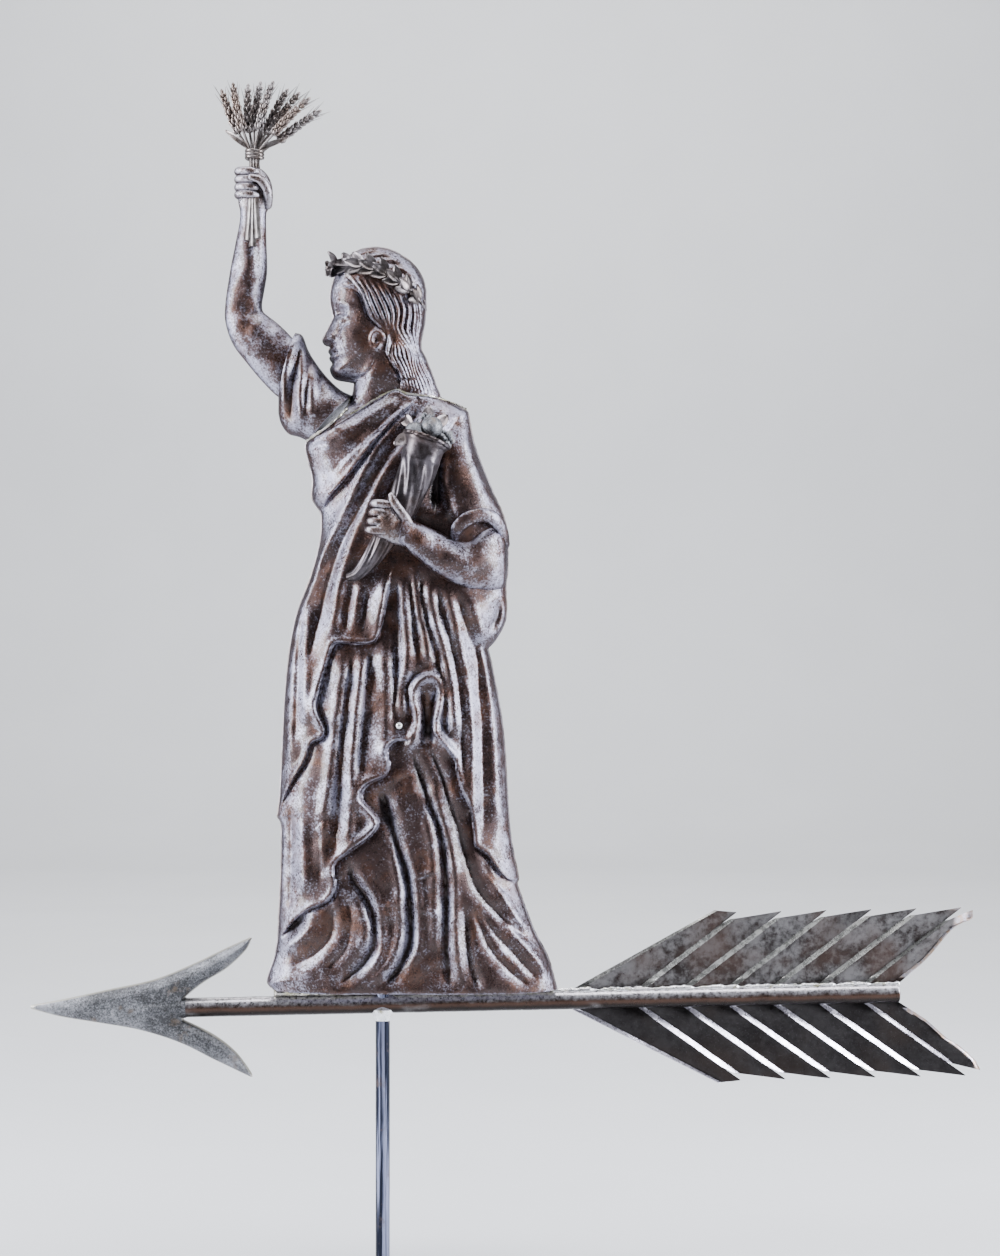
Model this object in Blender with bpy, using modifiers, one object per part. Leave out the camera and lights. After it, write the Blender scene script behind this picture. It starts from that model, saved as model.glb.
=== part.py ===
"""A weathervane: a robed harvest figure on an arrow that turns on a steel spindle.

Metres, +Z up. The arrow points to -X and the figure's front faces -Y. The origin is the
middle of the spindle's foot.
"""

import math

import bmesh
import bpy
import numpy as np
from mathutils import Vector, geometry

# Driving sizes, in metres
FIGURE_HEIGHT = 0.903
SPINDLE_RADIUS = 0.00794
SPINDLE_REACH = 0.300
SPINDLE_BLUNT = 0.0015
SPINDLE_POINT = 0.007
BORE_DEPTH = 0.060
SHAFT_RADIUS = 0.011
SHAFT_FRONT = 0.2175
SHAFT_BACK = 0.568
ARROW_TILT = math.radians(1.19)
SADDLE_HALF_WIDTH = 0.0042
SADDLE_LEAST = 0.0009
COLLAR_WALL = 0.0016
COLLAR_HEIGHT = 0.0075
COLLAR_FLARE = 0.0006
COLLAR_STRAIGHT = 0.0035
COLLAR_ROUNDING = 0.0008
ARROWHEAD_LENGTH = 0.2455
ARROWHEAD_HALF_DEPTH = 0.0125
STUB_LENGTH = 0.020
STUB_REACH = 0.055
STUB_SWELL = 1.12
STUB_POINT = 0.55
BARBS = 7
FLETCH_FRONT = 0.2086
FIRST_BARB = 0.0726
BARB_PITCH = 0.0495
BARB_RISE = 0.0665
BARB_SLOPE = math.radians(36.4)
BARB_TIP = (0.0185, 0.0145)
FLETCH_THICKNESS = 0.0012
FLETCH_FOLD = 0.0050
LEAD_BACK = 0.004
LEAD_RISE = 0.003
FLETCH_STIFF = 0.012
CURL_START = 0.045
CURL_REACH = 0.04
UPPER_STRIP = 0.0050
LOWER_STRIP = 0.0074

# Clearances, in metres
FIT_GAP = 0.0003
BORE_CLEARANCE = 0.00035
POINT_CLEARANCE = 0.0004

# The share of the arrowhead's length that lies in front of the shaft
ARROWHEAD_BARE = 0.693
ARROWHEAD_REACH = SHAFT_FRONT + FIT_GAP + ARROWHEAD_BARE * ARROWHEAD_LENGTH

# The figure is drawn on a grid of 821 steps from hem to fist. u runs to the right from the
# spindle, v up from the hem, and depths are in the same steps.
GRID_STEPS = 821
STEP = FIGURE_HEIGHT / GRID_STEPS
OUTLINE_SPACING = 12.0
ROBE_SPACING = 17.0
HEAD_SPACING = 9.0
LINE_SPACING = 20.0
HEAD_LINE_SPACING = 8.0
SLEEVE_SPACING = 9.5
HORN_SPACING = 13.0
JOINT_SPACING = 8.0
STEP_LIP = 2.5
RIM_MARGIN = 4.0
HEAD_FROM = 588

# Where the hem rests on the saddle, above the shaft that rises to the right
HEM_RIGHT = 174
SADDLE_FRONT_END = -108
SADDLE_REAR_END = 172
SHAFT_AXIS_Z = SPINDLE_REACH + SHAFT_RADIUS
HEM_Z = (SHAFT_AXIS_Z + SHAFT_RADIUS / math.cos(ARROW_TILT) + HEM_RIGHT * STEP * math.tan(ARROW_TILT)
         + SADDLE_LEAST + 2 * FIT_GAP)
BORE_RADIUS = SPINDLE_RADIUS + BORE_CLEARANCE

# The robe and head outline: runs of smooth curve that meet at corners, from the hem's right
# end over the head to its left end. The shoulder run is the flat joint of the raised arm.
BODY_RIGHT = [
    [(174, 0), (165, 32), (151, 59), (134, 105)],
    [(134, 105), (136, 110)],
    [(136, 110), (127, 161), (121, 253), (111, 313), (105, 340)],
    [(105, 340), (113, 349), (123, 370), (123, 403), (125, 421), (123, 464), (107, 503), (92, 542), (85, 576)],
    [(85, 576), (58, 590)],
    [(58, 590), (44, 627), (38, 642), (42.5, 670), (42, 702), (30, 724), (4, 739), (-22, 738), (-41, 724),
     (-49.5, 706), (-52.5, 690), (-50.5, 677), (-49, 671)],
    [(-49, 671), (-54, 660), (-60, 648)],
    [(-60, 648), (-58, 643.5), (-52, 641)],
    [(-52, 641), (-54, 636), (-51.5, 632.5)],
    [(-51.5, 632.5), (-53, 629), (-49.5, 624.5)],
    [(-49.5, 624.5), (-52, 617), (-47, 609), (-36, 606.5), (-28, 605)],
    [(-28, 605), (-29, 596), (-32.5, 587)],
]
SHOULDER_JOINT = [(-32.5, 587), (-39, 573), (-55.5, 557), (-74, 548.5)]
BODY_LEFT = [
    [(-74, 548.5), (-77, 539), (-70, 509), (-70.5, 490), (-61, 475)],
    [(-61, 475), (-62, 450), (-71, 414), (-88, 366), (-97, 301), (-102, 204), (-105, 172)],
    [(-105, 172), (-101, 160), (-102, 107), (-105, 48)],
    [(-105, 48), (-108, 32), (-115, 11), (-114, 4), (-110, 0)],
]
HEM = [(-110, 0), (174, 0)]

# Half depth of the swelled body, and how far in from the seam it is reached, by height
BODY_LEVELS = [(0, 41, 74), (110, 40, 74), (340, 37, 66), (430, 37, 62), (520, 40, 58), (560, 34, 46),
               (592, 24, 32), (612, 28, 36), (670, 33, 42), (740, 29, 38)]

# The raised arm, from the joint up the inner side, round the fist and down the outer side
ARM_OUTLINE = [
    [(-32.5, 587), (-48, 603), (-63, 619), (-73, 635), (-79, 652), (-93, 654)],
    [(-93, 654), (-109, 668), (-121, 677)],
    [(-121, 677), (-115, 715), (-116.5, 765), (-110, 786), (-110, 800), (-118, 819), (-131, 821), (-144, 814),
     (-145, 792), (-142, 769), (-154, 710), (-157.5, 672), (-154, 650), (-136, 625), (-102.5, 589)],
    [(-102.5, 589), (-103, 571), (-97, 555), (-86, 552.5), (-74, 548.5)],
]
ARM_FOREARM = (17, 19)
ARM_JOINT = (34, 44)
ARM_BLEND = 70

# Folds: kind, height, width and course. A step is high on the left of its course.
BODICE_FOLDS = [
    ("ridge", 9, 38, [(-48, 524), (-40, 512)]),
    ("step", 3, 16, [(-74, 546), (-55, 553), (-19, 577), (13, 594)][::-1]),
    ("ridge", 3, 9, [(-62, 538), (-20, 563), (20, 588)]),
    ("ridge", 3, 8, [(9, 586), (-27, 561), (-52, 534)]),
    ("ridge", 4, 10, [(17, 581), (-27, 537), (-49, 505)]),
    ("step", 6, 24, [(-61, 477), (-35, 509), (0, 554), (32, 584)]),
    ("ridge", 6, 11, [(35, 579), (5, 533), (-24, 483), (-58, 398), (-77, 310), (-82, 262)]),
    ("ridge", -4, 7, [(32, 569), (4, 523), (-22, 470)]),
    ("ridge", 5, 10, [(52, 578), (12, 526), (-10, 475), (-36, 420), (-46, 345)]),
    ("ridge", 4, 8, [(71, 577), (56, 545)]),
    ("ridge", -9, 11, [(54, 540), (54, 515), (58, 480)]),
    ("ridge", 3, 9, [(64, 530), (70, 484)]),
    ("ridge", 3, 7, [(-78, 388), (-87, 352), (-88, 316), (-91, 218)]),
    ("ridge", 3, 7, [(-69, 388), (-71, 343), (-70, 281), (-64, 258)]),
    ("step", 5, 22, [(9, 410), (-4, 362), (-17, 349), (-48, 344)]),
    ("ridge", 4, 9, [(25, 408), (30, 330)]),
    ("ridge", 4, 9, [(40, 405), (50, 375), (66, 330)]),
    ("ridge", 4, 9, [(62, 393), (74, 355), (81, 330)]),
]
SKIRT_FOLDS = [
    ("step", 6, 26, [(-104, 172), (-96, 198), (-78, 228), (-72, 247), (-57, 256), (-64, 286), (-48, 343)]),
    ("ridge", 4, 9, [(-33, 333), (-44, 265), (-50, 212), (-57, 170)]),
    ("ridge", -4, 7, [(-27, 338), (-38, 252), (-43, 178)]),
    ("ridge", 4, 8, [(-12, 338), (-23, 252), (-22, 178)]),
    ("ridge", -3, 6, [(-9, 344), (-16, 264), (-21, 212)]),
    ("ridge", 4, 9, [(4, 344), (7, 270), (3, 224)]),
    ("step", 6, 22, [(-41, 132), (-12, 154), (-4, 168), (-20, 202), (8, 222), (7, 240), (18, 251)]),
    ("ridge", -5, 6, [(30, 248), (36, 256), (29, 294), (44, 312), (59, 297), (51, 260)]),
    ("ridge", 3, 7, [(45, 304), (46, 275), (43, 256)]),
    ("step", 6, 22, [(51, 260), (71, 234), (88, 185), (100, 144), (122, 118), (136, 110)]),
    ("ridge", 5, 9, [(51, 350), (65, 301), (69, 247)]),
    ("ridge", 4, 8, [(75, 314), (84, 253), (84, 205)]),
    ("ridge", 3, 8, [(100, 240), (102, 165)]),
    ("ridge", 3, 7, [(-69, 165), (-66, 119), (-67, 90)]),
    ("step", 6, 24, [(-105, 47), (-71, 85), (-47, 105), (-44, 134), (-53, 170)]),
    ("ridge", -5, 7, [(-98, 52), (-66, 84)]),
    ("ridge", 5, 9, [(-67, 77), (-72, 64), (-96, 41), (-106, 10)]),
    ("ridge", 4, 8, [(-51, 88), (-45, 66), (-68, 28), (-90, 14)]),
    ("ridge", 4, 8, [(-36, 126), (-12, 70), (-20, 37)]),
    ("ridge", -6, 8, [(-32, 135), (-8, 75), (-16, 36), (-49, 5)]),
    ("ridge", 4, 10, [(1, 158), (19, 113), (27, 65), (14, 28)]),
    ("ridge", -6, 8, [(-2, 200), (21, 125), (29, 65), (22, 34), (-9, 4)]),
    ("ridge", 5, 9, [(23, 247), (46, 186), (58, 120), (58, 50)]),
    ("ridge", -6, 7, [(27, 246), (53, 180), (63, 120), (62, 60), (67, 4)]),
    ("ridge", 4, 8, [(37, 254), (60, 205), (76, 150), (98, 112), (126, 74)]),
    ("ridge", -5, 7, [(59, 248), (78, 153), (102, 98), (146, 52)]),
    ("ridge", 4, 8, [(93, 139), (115, 108), (124, 91)]),
    ("ridge", -5, 7, [(95, 90), (114, 47), (158, 5)]),
    ("ridge", 4, 8, [(86, 88), (100, 40), (118, 6)]),
    ("ridge", 4, 8, [(97, 68), (128, 28), (150, 9)]),
    ("ridge", -4, 6, [(85, 48), (99, 4)]),
    ("ridge", 5, 9, [(127, 71), (151, 35), (165, 12)]),
]
HEAD_FOLDS = [
    ("step", 3, 16, [(-44, 697), (-28, 696), (-15, 676), (-6, 659), (6, 648), (5, 634), (16, 612), (19, 597)]),
    ("ridge", 2.5, 5, [(-24, 705), (-9, 676), (10, 655), (11, 634), (26, 603)]),
    ("ridge", 2.5, 5, [(-8, 703), (4, 679), (21, 655), (20, 634), (36, 601)]),
    ("ridge", 2.5, 5, [(9, 699), (18, 677), (31, 655), (28, 636), (46, 602)]),
    ("ridge", 2.5, 6, [(-30, 728), (-2, 731), (22, 716), (36, 694)]),
    ("step", 4, 14, [(-42, 607.5), (-22, 611), (-8, 623), (-5, 634)]),
    ("ridge", 2, 6, [(-50, 677), (-40, 680), (-28, 675)]),
    ("ridge", -3, 6, [(-46, 667), (-34, 667)]),
    ("ridge", 3, 13, [(-38, 650), (-28, 652)]),
    ("ridge", 3, 5, [(-4, 652), (-2, 637)]),
]
SLEEVE_FOLDS = [
    ("step", 3, 18, [(-88, 653), (-94, 625), (-101, 589)][::-1]),
    ("ridge", 3, 6, [(-82, 648), (-86, 613), (-93, 588)]),
    ("ridge", 4, 8, [(-73, 620), (-75, 592), (-83, 561)]),
    ("ridge", 4, 8, [(-65, 615), (-69, 594), (-74, 575)]),
    ("ridge", -3, 5, [(-79, 635), (-80, 610), (-85, 588)]),
    ("ridge", 2, 4, [(-142, 812), (-119, 812)]),
    ("ridge", -2, 4, [(-144, 805), (-125, 805)]),
    ("ridge", -2, 4, [(-144, 798), (-125, 798)]),
    ("ridge", 3, 5, [(-123, 815), (-112, 800), (-116, 786)]),
]

# The left forearm and its hand, laid across the body from the elbow, drawn as the body is
FOREARM_OUTLINE = [
    [(118, 414), (106, 399), (88, 397), (62, 407), (38, 427), (22, 441)],
    [(22, 441), (4, 443), (-7, 454), (-9, 470), (0, 487), (14, 492), (28, 485), (32, 466)],
    [(32, 466), (54, 454), (74, 452), (90, 472), (108, 473), (118, 458), (118, 414)],
]
FOREARM_SWELL = (12, 15)
FOREARM_SINK = 9
HAND_LIFT = 17
LIFT_START = 95
LIFT_REACH = 75
FOREARM_FOLDS = [
    ("ridge", 3, 7, [(77, 458), (98, 468), (113, 458)]),
    ("ridge", -3, 5, [(78, 450), (97, 459), (113, 449)]),
    ("ridge", -2.5, 4, [(-8, 480), (8, 478)]),
    ("ridge", -2.5, 4, [(-9, 470), (7, 467)]),
    ("ridge", -2.5, 4, [(-8, 459), (8, 456)]),
    ("ridge", 3, 6, [(28, 476), (14, 489)]),
    ("ridge", -4, 7, [(79, 441), (93, 428), (98, 420)]),
]

# The horn's middle line with its radius and its lift off the body, mouth first
HORN_COURSE = [(45, 545, 23, 2), (42, 536, 21, 1), (35, 512, 18.5, 0), (22, 482, 16, 0), (8, 454, 13, 0),
               (-8, 430, 9.5, 0), (-22, 414, 6.5, 0), (-33, 410, 4, 0)]
HORN_SIDES = 12
HORN_OFFSET = 4
FRUITS = [(34, 553, 10, 8), (50, 557, 11, 10), (64, 546, 9, 7), (42, 564, 8, 3), (58, 563, 8, 3)]

# The sheaf: tied above the fist, its ears in a fan that leans to the right
TIE_PLACE = (-128, 833)
STALK_RADIUS = 2.6
TIE_RADIUS = 8.5
EARS = 9
EAR_FAN = (-27, 50)
EAR_START = 26
EAR_LENGTH = 50
EAR_RADIUS = 6.2
EAR_DEPTHS = (0, -9, 8)
STALK_ENDS = [(-133, 744), (-128, 738), (-123, 746)]

# The wreath: leaves in pairs along its middle line, from the brow to the back of the head
WREATH_LINE = [(-52, 720), (-30, 720), (-4, 714), (16, 703), (32, 690), (47, 674)]
WREATH_THICKNESS = 3.5
LEAVES = 9
LEAF_HALF_WIDTH = 10
LEAF_NOTCH = 5.5
LEAF_LEAN = 7

# The arrowhead in hundredths of its own length, from its point back
NOTCH_HALF = 100 * (SHAFT_RADIUS + FIT_GAP) / ARROWHEAD_LENGTH
NOTCH_TOP = (100 * ARROWHEAD_BARE, NOTCH_HALF)
NOTCH_FOOT = (100 * ARROWHEAD_BARE - 0.8, -NOTCH_HALF - 0.6)
ARROWHEAD_UPPER = [(0, 1.7), (15, 4.9), (35, 8.8), (56, 13), (74, 19.8), (89, 26.6), (100, 31)]
ARROWHEAD_UPPER_BACK = [(100, 31), (97, 25), (88.5, 17.3), (78, 11.1), NOTCH_TOP]
ARROWHEAD_LOWER_BACK = [NOTCH_FOOT, (81.4, -11.8), (91.4, -19.8), (97.8, -28.6), (98.9, -32)]
ARROWHEAD_LOWER = [(98.9, -32), (81.4, -23.3), (67, -15.8), (49, -9.7), (31, -6.1), (13.6, -2.9), (0, 1.7)]
ARROWHEAD_SPACING = 6.5
ARROWHEAD_FILL = 4.8
ARROWHEAD_ROUNDING = 5.2
ARROWHEAD_THINNING = [(0, 0.3), (35, 0.75), (70, 1), (100, 0.7)]

# The last barb of each side is bent: its trailing edge and tip, from the shaft's end
UPPER_BENT_TIP = [(0, 0), (0.031, 0.026), (0.056, 0.054), (0.068, 0.063), (0.084, 0.069), (0.084, 0.078),
                  (0.063, 0.073)]
LOWER_BENT_TIP = [(0, 0), (0.028, 0.019), (0.051, 0.040), (0.066, 0.050), (0.082, 0.065), (0.089, 0.077),
                  (0.082, 0.075), (0.063, 0.065)]

COPPER = ((0.16, 0.09, 0.065), 0.36, 0.85)
CAST = ((0.42, 0.43, 0.42), 0.55, 0.80)
SHEET = ((0.20, 0.18, 0.17), 0.42, 0.85)
SOLDER = ((0.52, 0.51, 0.47), 0.35, 0.90)
STEEL = ((0.50, 0.49, 0.55), 0.18, 1.0)
SHAFT_METAL = ((0.30, 0.27, 0.25), 0.38, 0.90)


def clear_scene():
    for existing in list(bpy.data.objects):
        bpy.data.objects.remove(existing, do_unlink=True)


def make_collection(name):
    collection = bpy.data.collections.new(name)
    bpy.context.scene.collection.children.link(collection)
    return collection


def make_material(name, look):
    colour, roughness, metallic = look
    material = bpy.data.materials.new(name)
    material.use_nodes = True
    shader = material.node_tree.nodes["Principled BSDF"]
    shader.inputs["Base Color"].default_value = (*colour, 1)
    shader.inputs["Roughness"].default_value = roughness
    shader.inputs["Metallic"].default_value = metallic
    return material


def add_part(name, mesh, look, smooth_angle=50):
    """A part in the model's collection, with its own material."""
    part = bpy.data.objects.new(name, mesh)
    mesh.materials.append(make_material(name + "_finish", look))
    mesh.shade_smooth()
    mesh.set_sharp_from_angle(angle=math.radians(smooth_angle))
    PARTS.objects.link(part)
    return part


def add_cutter(name, mesh):
    cutter = bpy.data.objects.new(name, mesh)
    cutter.hide_render = True
    cutter.display_type = "WIRE"
    CUTTERS.objects.link(cutter)
    return cutter


def combine(part, other, operation, inner_crossings=False):
    boolean = part.modifiers.new(operation.lower() + "_" + other.name, "BOOLEAN")
    boolean.operation = operation
    boolean.solver = "EXACT"
    boolean.use_self = inner_crossings
    boolean.object = other


def grown_cutter(part):
    """A copy of a finished part, swelled by the fit gap, to cut what lies against it."""
    bpy.context.view_layer.update()
    evaluated = part.evaluated_get(bpy.context.evaluated_depsgraph_get())
    mesh = bpy.data.meshes.new_from_object(evaluated)
    cutter = add_cutter(part.name + "_clearance", mesh)
    cutter.location = part.location
    cutter.rotation_euler = part.rotation_euler
    swell = cutter.modifiers.new("swell", "DISPLACE")
    swell.direction = "NORMAL"
    swell.mid_level = 0
    swell.strength = FIT_GAP
    return cutter


def spline(points, spacing):
    """A smooth course through the points, sampled evenly about every spacing."""
    points = np.array(points, float)
    dense = points
    if len(points) > 2:
        ends = np.vstack([2 * points[0] - points[1], points, 2 * points[-1] - points[-2]])
        t = np.linspace(0, 1, 12, endpoint=False)[:, None]
        pieces = []
        for a, b, c, d in zip(ends, ends[1:], ends[2:], ends[3:]):
            pieces.append(0.5 * (2 * b + (c - a) * t + (2 * a - 5 * b + 4 * c - d) * t ** 2
                                 + (3 * b - a - 3 * c + d) * t ** 3))
        dense = np.vstack(pieces + [points[-1:]])
    lengths = np.concatenate([[0], np.cumsum(np.linalg.norm(np.diff(dense, axis=0), axis=1))])
    count = max(1, round(lengths[-1] / spacing))
    places = np.linspace(0, lengths[-1], count + 1)
    return np.column_stack([np.interp(places, lengths, column) for column in dense.T])


def chain(runs, spacing):
    """One polyline from runs that share their end corners."""
    sampled = [spline(run, spacing) for run in runs]
    return np.vstack([run[:-1] for run in sampled] + [sampled[-1][-1:]])


def nearest_on(points, course):
    """Distance, side (positive on the left) and share of the length, at the nearest place."""
    start = course[:-1]
    along = course[1:] - start
    lengths = np.linalg.norm(along, axis=1)
    before = np.concatenate([[0], np.cumsum(lengths)])
    offset = points[:, None] - start[None]
    share = np.clip((offset * along).sum(-1) / (lengths ** 2), 0, 1)
    offset = offset - share[..., None] * along
    distance = np.linalg.norm(offset, axis=-1)
    nearest = distance.argmin(axis=1)
    rows = np.arange(len(points))
    chosen = offset[rows, nearest]
    side = along[nearest, 0] * chosen[:, 1] - along[nearest, 1] * chosen[:, 0]
    run = (before[nearest] + share[rows, nearest] * lengths[nearest]) / before[-1]
    return distance[rows, nearest], side, run


def inside(points, outline):
    """Which points lie in the closed outline, by counting crossings."""
    count = np.zeros(len(points), int)
    for a, b in zip(outline, np.roll(outline, -1, axis=0)):
        spans = (a[1] > points[:, 1]) != (b[1] > points[:, 1])
        if spans.any():
            crossing = a[0] + (points[spans, 1] - a[1]) / (b[1] - a[1]) * (b[0] - a[0])
            count[spans] += points[spans, 0] < crossing
    return count % 2 == 1


def relief(points, folds):
    """The height that the folds add at each point."""
    height = np.zeros(len(points))
    for kind, rise, width, course in folds:
        distance, side, run = nearest_on(points, spline(course, 6))
        taper = np.clip(np.minimum(run, 1 - run) / 0.14, 0, 1)
        if kind == "ridge":
            taper = np.where(distance < width, 0.35 + 0.65 * taper, 0)
            height += rise * taper * np.cos(np.clip(distance / width, 0, 1) * math.pi / 2) ** 2
        else:
            high = np.clip(1 - distance / width, 0, 1) ** 2
            low = np.clip(1 - distance / STEP_LIP, 0, 1)
            height += rise * (0.3 + 0.7 * taper) * np.where(side >= -1e-6, high, low)
    return height


def swell(distance, depth, reach):
    """A pillow: nothing at the seam, its full depth from reach inwards."""
    near = np.clip(distance / reach, 0, 1)
    return depth * np.sqrt(1 - (1 - near) ** 2)


def fold_lines(folds, outline, spacing, head_spacing):
    """The folds' courses inside the outline, and a second line under each step."""
    lines = []
    for kind, rise, width, course in folds:
        fine = course[0][1] > HEAD_FROM
        line = spline(course, head_spacing if fine else spacing)
        lines.append(line)
        if kind == "step":
            heading = np.gradient(line, axis=0)
            heading /= np.linalg.norm(heading, axis=1)[:, None]
            lines.append(line + STEP_LIP * np.column_stack([heading[:, 1], -heading[:, 0]]))
    kept = []
    closed = np.vstack([outline, outline[:1]])
    for line in lines:
        clear = inside(line, outline) & (nearest_on(line, closed)[0] > RIM_MARGIN)
        for run in np.split(np.arange(len(line)), np.flatnonzero(np.diff(clear.astype(int))) + 1):
            if clear[run[0]] and len(run) > 1:
                kept.append(line[run])
    return kept


def filling(outline, lines, spacing, fine_spacing=None, fine_from=None):
    """Staggered rows of points inside the outline, clear of it and of the lines."""
    low = outline.min(axis=0)
    high = outline.max(axis=0)
    rows = []
    v = low[1]
    index = 0
    while v < high[1]:
        step = spacing
        if fine_from is not None and v > fine_from:
            step = fine_spacing
        u = np.arange(low[0] + 0.5 * step * (index % 2), high[0], step)
        rows.append(np.column_stack([u, np.full(len(u), v), np.full(len(u), step)]))
        v += 0.87 * step
        index += 1
    points = np.vstack(rows)
    points = points[inside(points[:, :2], outline)]
    for course in [np.vstack([outline, outline[:1]])] + lines:
        distance = nearest_on(points[:, :2], course)[0]
        points = points[distance > 0.5 * points[:, 2]]
    return points[:, :2]


def triangulate(outline, lines, fill, pinched, near):
    """Triangles over the outline with edges along the lines, none flat against the seam."""
    points = [tuple(p) for p in outline]
    edges = []
    for line in lines:
        first = len(points)
        points += [tuple(p) for p in line]
        edges += [(first + i, first + i + 1) for i in range(len(line) - 1)]
    points += [tuple(p) for p in fill]
    rim = list(range(len(outline)))
    for _ in range(6):
        found, _, faces, origin, _, _ = geometry.delaunay_2d_cdt(
            [Vector(p) for p in points], edges, [rim], 1, near)
        on_rim = [min(ids) if ids else -1 for ids in origin]
        pinned = [0 <= i < len(rim) and pinched[i] for i in on_rim]
        halves = set()
        for face in faces:
            for a, b in zip(face, list(face[1:]) + [face[0]]):
                gap = abs(on_rim[a] - on_rim[b])
                if pinned[a] and pinned[b] and gap not in (1, len(rim) - 1):
                    halves.add(tuple((found[a] + found[b]) / 2))
        if not halves:
            break
        points += sorted(halves)
    return np.array([tuple(p) for p in found]), [list(face) for face in faces]


def relief_mesh(name, points, faces, scale, front, back):
    """A closed body over a triangulated sheet, -Y face at front and +Y face at back."""
    bm = bmesh.new()
    near = [bm.verts.new((u * scale, 0, v * scale)) for u, v in points]
    for face in faces:
        bm.faces.new([near[i] for i in face])
    extruded = bmesh.ops.extrude_face_region(bm, geom=bm.faces[:])["geom"]
    far = [item for item in extruded if isinstance(item, bmesh.types.BMVert)]
    for vert, depth in zip(near, front(points)):
        vert.co.y = -depth * scale
    places = np.array([(vert.co.x / scale, vert.co.z / scale) for vert in far])
    for vert, depth in zip(far, back(places)):
        vert.co.y = depth * scale
    bmesh.ops.remove_doubles(bm, verts=bm.verts, dist=1e-6)
    bmesh.ops.recalc_face_normals(bm, faces=bm.faces)
    mesh = bpy.data.meshes.new(name)
    bm.to_mesh(mesh)
    bm.free()
    return mesh


def tube_mesh(name, places, radii, sides, scale=1.0):
    """A round bar through the places, with a radius at each, as a closed mesh."""
    curve = bpy.data.curves.new(name, "CURVE")
    curve.dimensions = "3D"
    curve.bevel_mode = "ROUND"
    curve.bevel_depth = max(radii) * scale
    curve.bevel_resolution = (sides - 4) // 2
    curve.use_fill_caps = True
    course = curve.splines.new("POLY")
    course.points.add(len(places) - 1)
    for point, place, radius in zip(course.points, places, radii):
        point.co = (*(scale * Vector(place)), 1)
        point.radius = radius / max(radii)
    guide = bpy.data.objects.new(name + "_guide", curve)
    bpy.context.scene.collection.objects.link(guide)
    bpy.context.view_layer.update()
    mesh = bpy.data.meshes.new_from_object(guide.evaluated_get(bpy.context.evaluated_depsgraph_get()))
    bpy.data.objects.remove(guide, do_unlink=True)
    bm = bmesh.new()
    bm.from_mesh(mesh)
    bmesh.ops.remove_doubles(bm, verts=bm.verts, dist=1e-6)
    bmesh.ops.recalc_face_normals(bm, faces=bm.faces)
    bm.to_mesh(mesh)
    bm.free()
    return mesh


def merged_mesh(name, meshes):
    bm = bmesh.new()
    for mesh in meshes:
        bm.from_mesh(mesh)
    result = bpy.data.meshes.new(name)
    bm.to_mesh(result)
    bm.free()
    return result


def ball_mesh(name, place, radius, detail=2):
    bm = bmesh.new()
    bmesh.ops.create_icosphere(bm, subdivisions=detail, radius=radius)
    bmesh.ops.translate(bm, verts=bm.verts, vec=place)
    mesh = bpy.data.meshes.new(name)
    bm.to_mesh(mesh)
    bm.free()
    return mesh


def turned_part(name, profile, look, steps=32):
    """A profile of (radius, height), top to bottom on its outer side, turned about Z."""
    mesh = bpy.data.meshes.new(name)
    edges = [(i, i + 1) for i in range(len(profile) - 1)]
    mesh.from_pydata([(radius, 0, height) for radius, height in profile], edges, [])
    part = add_part(name, mesh, look)
    screw = part.modifiers.new("turn", "SCREW")
    screw.steps = steps
    screw.render_steps = steps
    screw.use_merge_vertices = True
    screw.merge_threshold = 0.00001
    return part


def body_outline(spacing):
    """The figure's closed outline and, per point, whether the two halves meet there."""
    right = chain(BODY_RIGHT, spacing)
    joint = spline(SHOULDER_JOINT, JOINT_SPACING)
    left = chain(BODY_LEFT, spacing)
    hem = spline(HEM, spacing)
    outline = np.vstack([right, joint[1:], left[1:], hem[1:-1]])
    pinched = [True] * len(right) + [False] * (len(joint) - 2) + [True] * len(left)
    pinched += [False] * (len(hem) - 2)
    return outline, pinched


def body_smooth_depth(points):
    """Half depth of the figure before its folds."""
    right = nearest_on(points, chain(BODY_RIGHT, 5))[0]
    left = nearest_on(points, chain(BODY_LEFT, 5))[0]
    levels = np.array(BODY_LEVELS, float).T
    depth = np.interp(points[:, 1], levels[0], levels[1])
    reach = np.interp(points[:, 1], levels[0], levels[2])
    return swell(np.minimum(right, left), depth, reach), np.minimum(right, left)


def body_depth(points):
    depth, rim = body_smooth_depth(points)
    carving = relief(points, BODICE_FOLDS + SKIRT_FOLDS + HEAD_FOLDS)
    near_rim = np.clip(rim / 9, 0, 1)
    return np.where(rim < 0.01, 0, np.maximum(depth + near_rim * carving, 0.35 * depth))


def make_figure():
    outline, pinched = body_outline(OUTLINE_SPACING)
    folds = BODICE_FOLDS + SKIRT_FOLDS + HEAD_FOLDS
    lines = fold_lines(folds, outline, LINE_SPACING, HEAD_LINE_SPACING)
    fill = filling(outline, lines, ROBE_SPACING, HEAD_SPACING, HEAD_FROM)
    points, faces = triangulate(outline, lines, fill, pinched, 0.8)
    mesh = relief_mesh("figure_body", points, faces, STEP, body_depth, body_depth)
    figure = add_part("figure_body", mesh, COPPER)
    figure.location.z = HEM_Z
    combine(figure, BORE_CUTTER, "DIFFERENCE")
    return figure


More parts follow.
